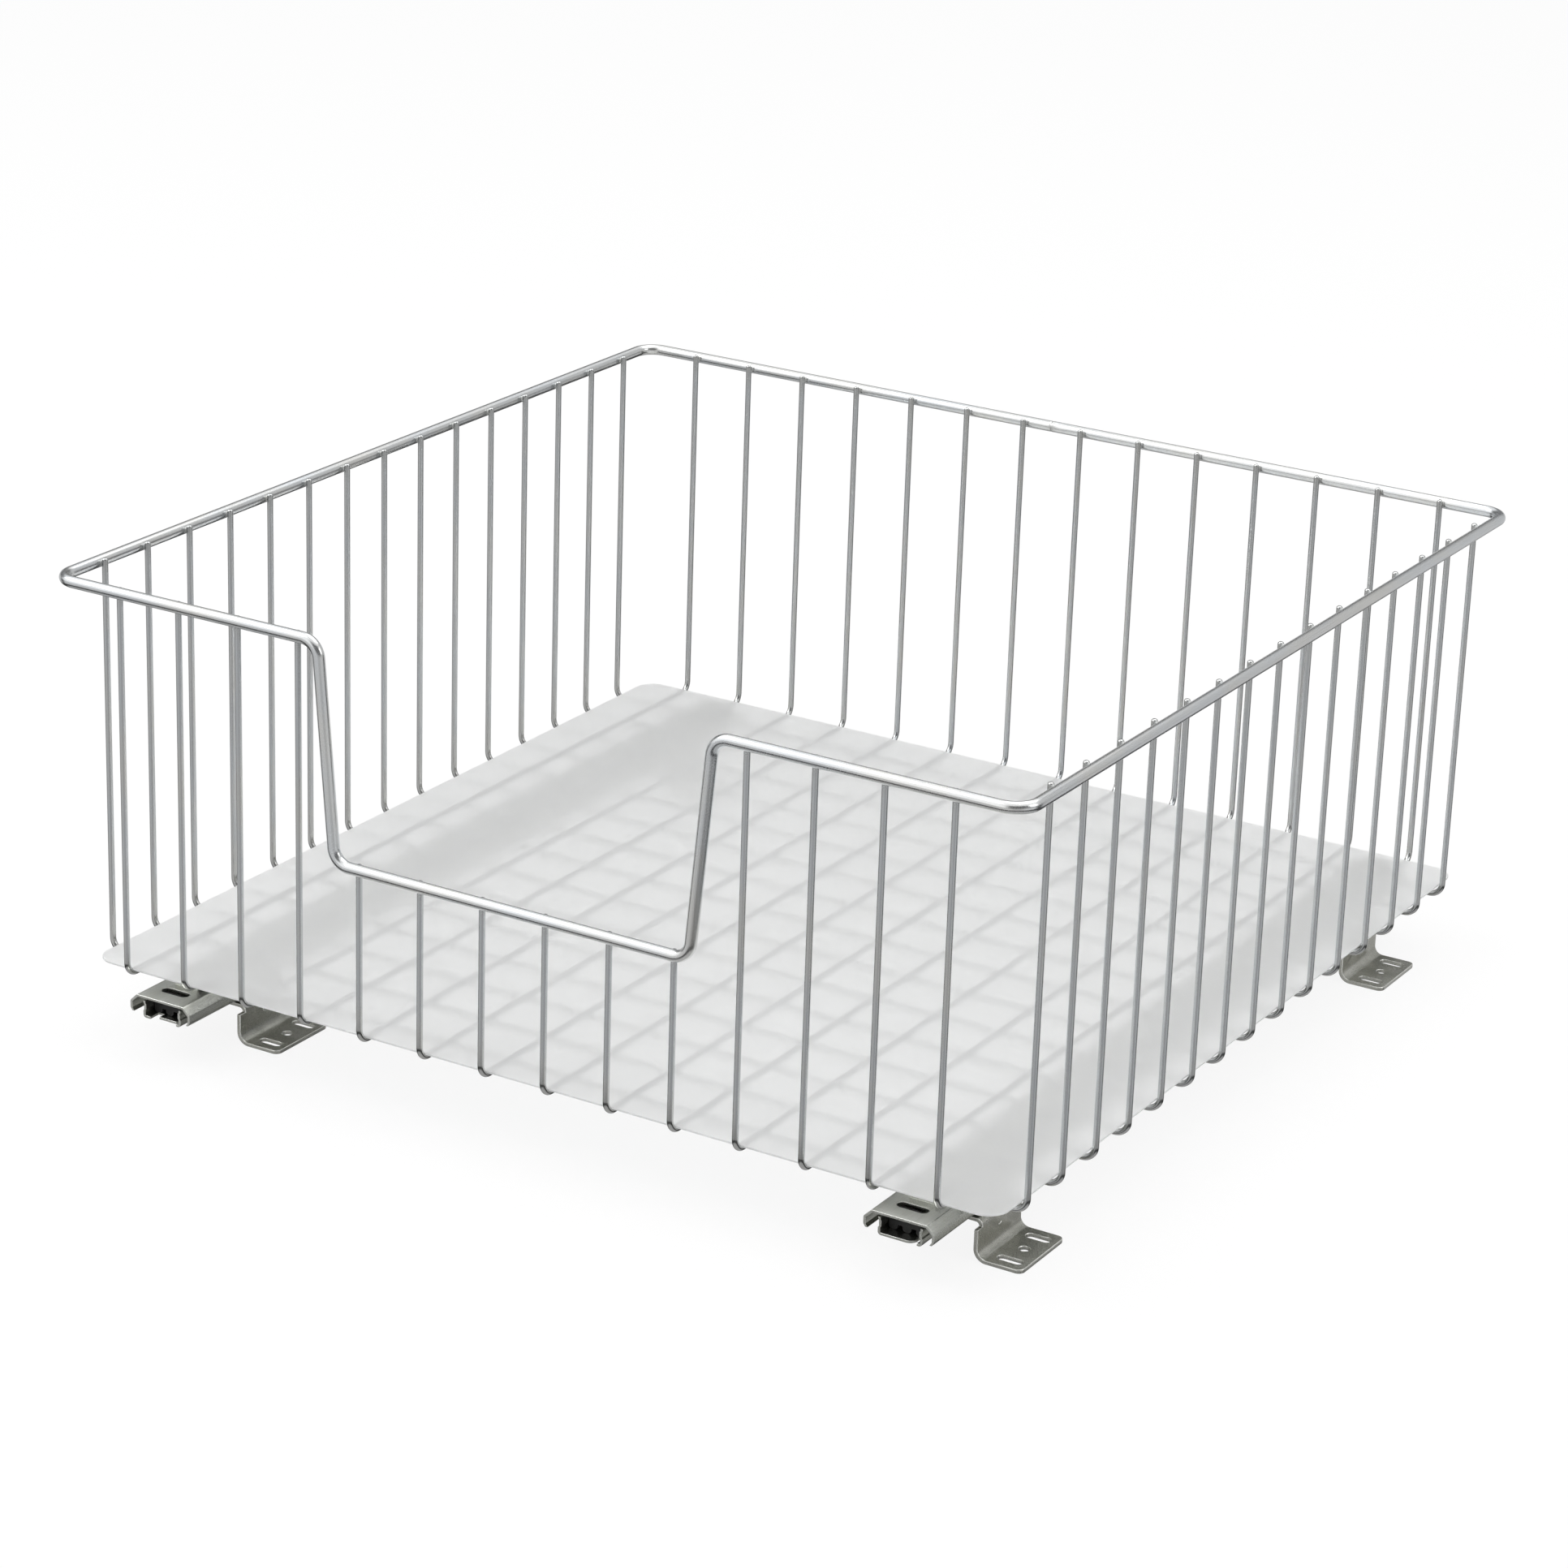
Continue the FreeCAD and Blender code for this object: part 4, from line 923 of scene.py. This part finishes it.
@dataclass
class Slide:
    """One slide: rails, cage, balls, buffers, brackets and rivets."""

    side: Side
    cage_ride: Ride
    rail_bevel: float = 0.16 * MM
    cage_bevel: float = 0.10 * MM
    bracket_bevel: float = 0.40 * MM
    buffer_bevel: float = 0.35 * MM
    rivet_bevel: float = 0.25 * MM
    balls_in_row: int = 8
    ball_rows: int = 15
    ball_columns: int = 20
    pole_gap: float = 0.02

    def build(self, finishes: dict[Slot, Material]) -> None:
        """Build the pieces of this slide, with a finish for each record slot."""
        rows = [
            ("basket_rail", self.rail_bevel, Ride.BASKET, Slot.BASKET_RAIL),
            ("base_rail", self.rail_bevel, Ride.BASES, Slot.BASE_RAIL),
            ("ball_cage", self.cage_bevel, self.cage_ride, Slot.CAGE),
            ("front_buffer", self.buffer_bevel, Ride.BASES, Slot.BUFFER),
            ("back_buffer", self.buffer_bevel, Ride.BASES, Slot.BUFFER),
            ("front_bracket", self.bracket_bevel, Ride.BASES, Slot.BRACKET),
            ("back_bracket", self.bracket_bevel, Ride.BASES, Slot.BRACKET),
            ("bracket_rivets", self.rivet_bevel, Ride.BASES, Slot.RIVET),
        ]
        for part, bevel, ride, slot in rows:
            node = f"{self.side.value}_{part}"
            piece = soft_copy(node, f"{node}_skin", bevel)
            finish_piece(piece, finishes[slot], ride)
        self.build_balls(finishes[Slot.BALLS])

    def build_balls(self, material: Material) -> None:
        """Build the balls round, in two rows that fill the box of the solid ball set."""
        node = f"{self.side.value}_ball_set"
        low, high = (np.array(corner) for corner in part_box(node))
        radius = float(high[2] - low[2]) / 2
        first, last = low + radius, high - radius
        along = np.linspace(first[1], last[1], self.balls_in_row)
        x, y, z = (grid.ravel() for grid in np.meshgrid(
            [first[0], last[0]], along, [(low[2] + high[2]) / 2], indexing="ij"))
        centres = np.stack([x, y, z], axis=1)
        points, faces = ball_surfaces(centres, np.full(centres.shape, radius), self.ball_rows,
                                      self.ball_columns, self.pole_gap)
        piece = make_piece(f"{self.side.value}_balls", points, faces)
        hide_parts(node)
        finish_piece(piece, material, self.cage_ride)


# The studio


@dataclass(frozen=True)
class Room:
    """What polished metal sees, by two angles in degrees.

    The turn runs from the eye's side, to the left below 0 and to the right above 0; the
    other angle is the height. A pair of angles is where a smooth ramp starts and ends.
    """

    left_start: Pair = (-128, -104)
    left_end: Pair = (-40, -12)
    right_start: Pair = (60, 90)
    right_end: Pair = (135, 165)
    right_level: float = 0.45
    wall_level: float = 0.16
    ceiling_start: Pair = (32, 46)
    ceiling_tilt: float = 12
    strip_fall: Pair = (-24, 6)
    strip_levels: Pair = (0.62, 0.48)
    strip_rise: Pair = (22, 40)
    strip_gain: float = 0.16
    gaps: tuple[Triple, ...] = ((-112, 7, 16), (98, 9, 22))
    gap_level: float = 0.10
    strip_foot: Pair = (-31, -25)
    ground_top: Pair = (-50, -42)
    ground_levels: Pair = (0.50, 0.04)
    horizon: Pair = (0, 9)

    def level(self, tree: Tree, turn: Socket, height: Socket, to_eye: Socket) -> Socket:
        """Work out the room's brightness in a direction.

        Above the horizon the walls are white at the left, grey at the right and dim
        elsewhere, and a bright ceiling starts lower on the far side than on the eye's.
        Below it comes a light strip, darker at two turns, then a dark gap, then grey ground.

        Args:
            tree: the world's tree.
            turn: the direction's turn.
            height: its height.
            to_eye: how far it points to the eye's side, from -1 to 1.

        Returns:
            The brightness.
        """
        left = tree.times(tree.spread(turn, *self.left_start),
                          tree.spread(turn, *self.left_end, 1.0, 0.0))
        right = tree.times(tree.spread(turn, *self.right_start),
                           tree.spread(turn, *self.right_end, self.right_level, 0.0))
        walls = tree.plus(tree.plus(left, right), self.wall_level)
        tilted = tree.math("SUBTRACT", height, tree.times(to_eye, self.ceiling_tilt))
        strip = tree.plus(tree.spread(turn, *self.strip_fall, *self.strip_levels),
                          tree.spread(turn, *self.strip_rise, 0.0, self.strip_gain))
        for side, dark, clear in self.gaps:
            off = tree.math("ABSOLUTE", tree.math("SUBTRACT", turn, side))
            strip = tree.times(strip, tree.spread(off, dark, clear, self.gap_level, 1.0))
        strip = tree.times(strip, tree.spread(height, *self.strip_foot))
        ground = tree.spread(height, *self.ground_top, *self.ground_levels)
        room = tree.add("Mix", {"Factor": tree.spread(height, *self.horizon),
                                "A": tree.plus(strip, ground), "B": walls}, data_type="FLOAT")
        ceiling = tree.spread(tilted, *self.ceiling_start)
        return tree.math("MAXIMUM", room.outputs["Result"], ceiling)


@dataclass(frozen=True)
class Studio:
    """Pale floor, soft lamps, a quiet world and the camera; angles are in degrees."""

    place: Triple = (1.06172, -1.81758, 0.90262)
    azimuth: float = 30.502
    elevation: float = 20.754
    roll: float = 1.966
    lens: float = 105.16
    sensor: float = 36.0
    floor_half: float = 9.0
    floor_waves: Triple = (0.0015, 0.0015, 0.0015)
    floor_tones: tuple[Colour, Colour] = ((0.86, 0.86, 0.86, 1), (0.88, 0.88, 0.88, 1))
    floor_rough: float = 0.9
    floor_glow: float = 0.88
    soft_level: float = 0.72
    lamp_aim: Triple = (0.0, 0.0, 0.1)
    lamps: tuple[tuple[str, Triple, float, float], ...] = (
        ("key_lamp", (-1.6, -0.9, 2.2), 1.6, 30), ("top_lamp", (0.2, 0.8, 2.4), 1.8, 21),
        ("side_lamp", (2.3, 0.3, 1.3), 1.2, 9))

    def build_camera(self) -> None:
        """Set the camera: it looks back along its azimuth and elevation, turned by its roll."""
        a, e, r = (math.radians(v) for v in (self.azimuth, self.elevation, self.roll))
        back = Vector((math.sin(a) * math.cos(e), -math.cos(a) * math.cos(e), math.sin(e)))
        right = Vector((math.cos(a), math.sin(a), 0))
        up = back.cross(right)
        turned_right = right * math.cos(r) + up * math.sin(r)
        turned_up = up * math.cos(r) - right * math.sin(r)
        data = bpy.data.cameras.new("camera")
        data.sensor_fit = "HORIZONTAL"
        data.sensor_width = self.sensor
        data.lens = self.lens
        data.clip_end = 50
        camera = link_object("camera", data)
        turn = Matrix((turned_right, turned_up, back)).transposed().to_4x4()
        camera.matrix_world = Matrix.Translation(self.place) @ turn
        bpy.context.scene.camera = camera

    def build_floor(self) -> None:
        """Lay a pale floor that shows nearly white, keeps the shadow and is clear from below."""
        signs = np.array([(-1, -1, 0), (1, -1, 0), (1, 1, 0), (-1, 1, 0)])
        floor = make_piece("floor", signs * self.floor_half, [[0, 1, 2, 3]])
        material, tree, shader = new_material("floor")
        tone = tree.blend(tree.noise(tree.place(), self.floor_waves), *self.floor_tones)
        tree.put(shader.inputs["Base Color"], tone)
        tree.put(shader.inputs["Roughness"], self.floor_rough)
        glow = tree.add("Emission", {"Color": (1, 1, 1, 1), "Strength": 1.0})
        share = tree.times(tree.seen(tree.add("LightPath")), self.floor_glow)
        lit = tree.add("MixShader", {0: share, 1: shader.outputs[0], 2: glow.outputs[0]})
        below = tree.add("NewGeometry").outputs["Backfacing"]
        clear = tree.add("BsdfTransparent").outputs[0]
        both = tree.add("MixShader", {0: below, 1: lit.outputs[0], 2: clear})
        output = material.node_tree.nodes["Material Output"]
        tree.put(output.inputs["Surface"], both.outputs[0])
        floor.data.materials.append(material)
        floor.visible_glossy = False

    def build_world(self) -> None:
        """Make the world: white to the eye and to glass, the room to polished metal.

        All other light sees one soft level.
        """
        world = bpy.data.worlds.new("world")
        world.use_nodes = True
        bpy.context.scene.world = world
        tree = Tree(world.node_tree)
        way = tree.add("TexCoord").outputs["Generated"]
        turned = tree.add("VectorRotate", {"Vector": way, "Angle": -math.radians(self.azimuth)},
                          rotation_type="Z_AXIS").outputs[0]
        split = tree.add("SeparateXYZ", {0: turned}).outputs
        to_eye = tree.times(split["Y"], -1.0)
        turn = tree.times(tree.math("ARCTAN2", split["X"], to_eye), DEGREE)
        height = tree.times(tree.math("ARCSINE", split["Z"]), DEGREE)
        room = Room().level(tree, turn, height, to_eye)
        path = tree.add("LightPath")
        seen = tree.seen(path)
        shiny = tree.times(path.outputs["Is Glossy Ray"], tree.math("SUBTRACT", 1.0, seen))
        plain = tree.times(tree.math("SUBTRACT", 1.0, shiny), self.soft_level)
        level = tree.plus(tree.times(shiny, room), plain)
        backdrop = world.node_tree.nodes["Background"]
        tree.put(backdrop.inputs["Color"], (1, 1, 1, 1))
        tree.put(backdrop.inputs["Strength"], tree.math("MAXIMUM", level, seen))

    def add_lamp(self, name: str, place: Triple, size: float, watts: float) -> None:
        """Hang a square soft lamp that faces the basket."""
        data = bpy.data.lights.new(name, "AREA")
        data.shape = "SQUARE"
        data.size = size
        data.energy = watts
        way = Vector(self.lamp_aim) - Vector(place)
        turn = way.to_track_quat("-Z", "Y").to_matrix().to_4x4()
        link_object(name, data).matrix_world = Matrix.Translation(place) @ turn

    def build(self) -> None:
        """Build camera, floor, world and lamps."""
        self.build_camera()
        self.build_floor()
        self.build_world()
        for lamp in self.lamps:
            self.add_lamp(*lamp)
        bpy.context.scene.view_settings.view_transform = "Standard"


def main() -> None:
    """Build the studio, the basket and the slides, and report each."""
    logging.basicConfig(level=logging.INFO, format="%(message)s")
    Studio().build()
    rim_finish = WireFinish("rim_zinc").material()
    wire_finish = WireFinish("wire_zinc", (0.62, 0.63, 0.64, 1), (0.56, 0.55, 0.515, 1),
                             (0.51, 0.545, 0.58, 1), rough_low=0.14, rough_high=0.24,
                             grain_height=1.0e-6).material()
    weld_finish = WireFinish("weld_zinc", rough_low=0.46, rough_high=0.60).material()
    rim = RimWire()
    rim.build(rim_finish)
    wires = ThinWires()
    wires.build(wire_finish)
    Welds(rim, wires).build(weld_finish)
    LinerMat().build(FrostedPlastic().material())
    along_y = (0.0, 0.0, -math.pi / 2)
    finishes = {
        Slot.BASKET_RAIL: SheetFinish("basket_rail_zinc", (0.68, 0.69, 0.65, 1),
                                      (0.56, 0.57, 0.52, 1), turn=along_y).material(),
        Slot.BASE_RAIL: SheetFinish("base_rail_zinc", (0.64, 0.65, 0.61, 1),
                                    (0.52, 0.53, 0.48, 1), turn=along_y).material(),
        Slot.CAGE: SheetFinish("cage_steel", (0.50, 0.50, 0.48, 1), (0.36, 0.36, 0.33, 1),
                               turn=along_y).material(),
        Slot.BALLS: SheetFinish("ball_steel", (0.78, 0.78, 0.78, 1), (0.70, 0.70, 0.70, 1),
                                rough_low=0.06, rough_high=0.12, streak_height=0.0,
                                grain_height=5e-7).material(),
        # Brackets get the strongest edge paint, partly wear and partly painted highlight.
        Slot.BRACKET: SheetFinish("bracket_zinc", (0.57, 0.57, 0.525, 1), (0.45, 0.45, 0.405, 1),
                                  most_edge_wear_and_highlight=0.9).material(),
        Slot.RIVET: SheetFinish("rivet_zinc", (0.60, 0.60, 0.58, 1), (0.45, 0.45, 0.42, 1),
                                turn=along_y).material(),
        Slot.BUFFER: BlackPlastic().material(),
    }
    Slide(Side.LEFT, Ride.LEFT_CAGE).build(finishes)
    Slide(Side.RIGHT, Ride.RIGHT_CAGE).build(finishes)


if __name__ == "__main__":
    main()
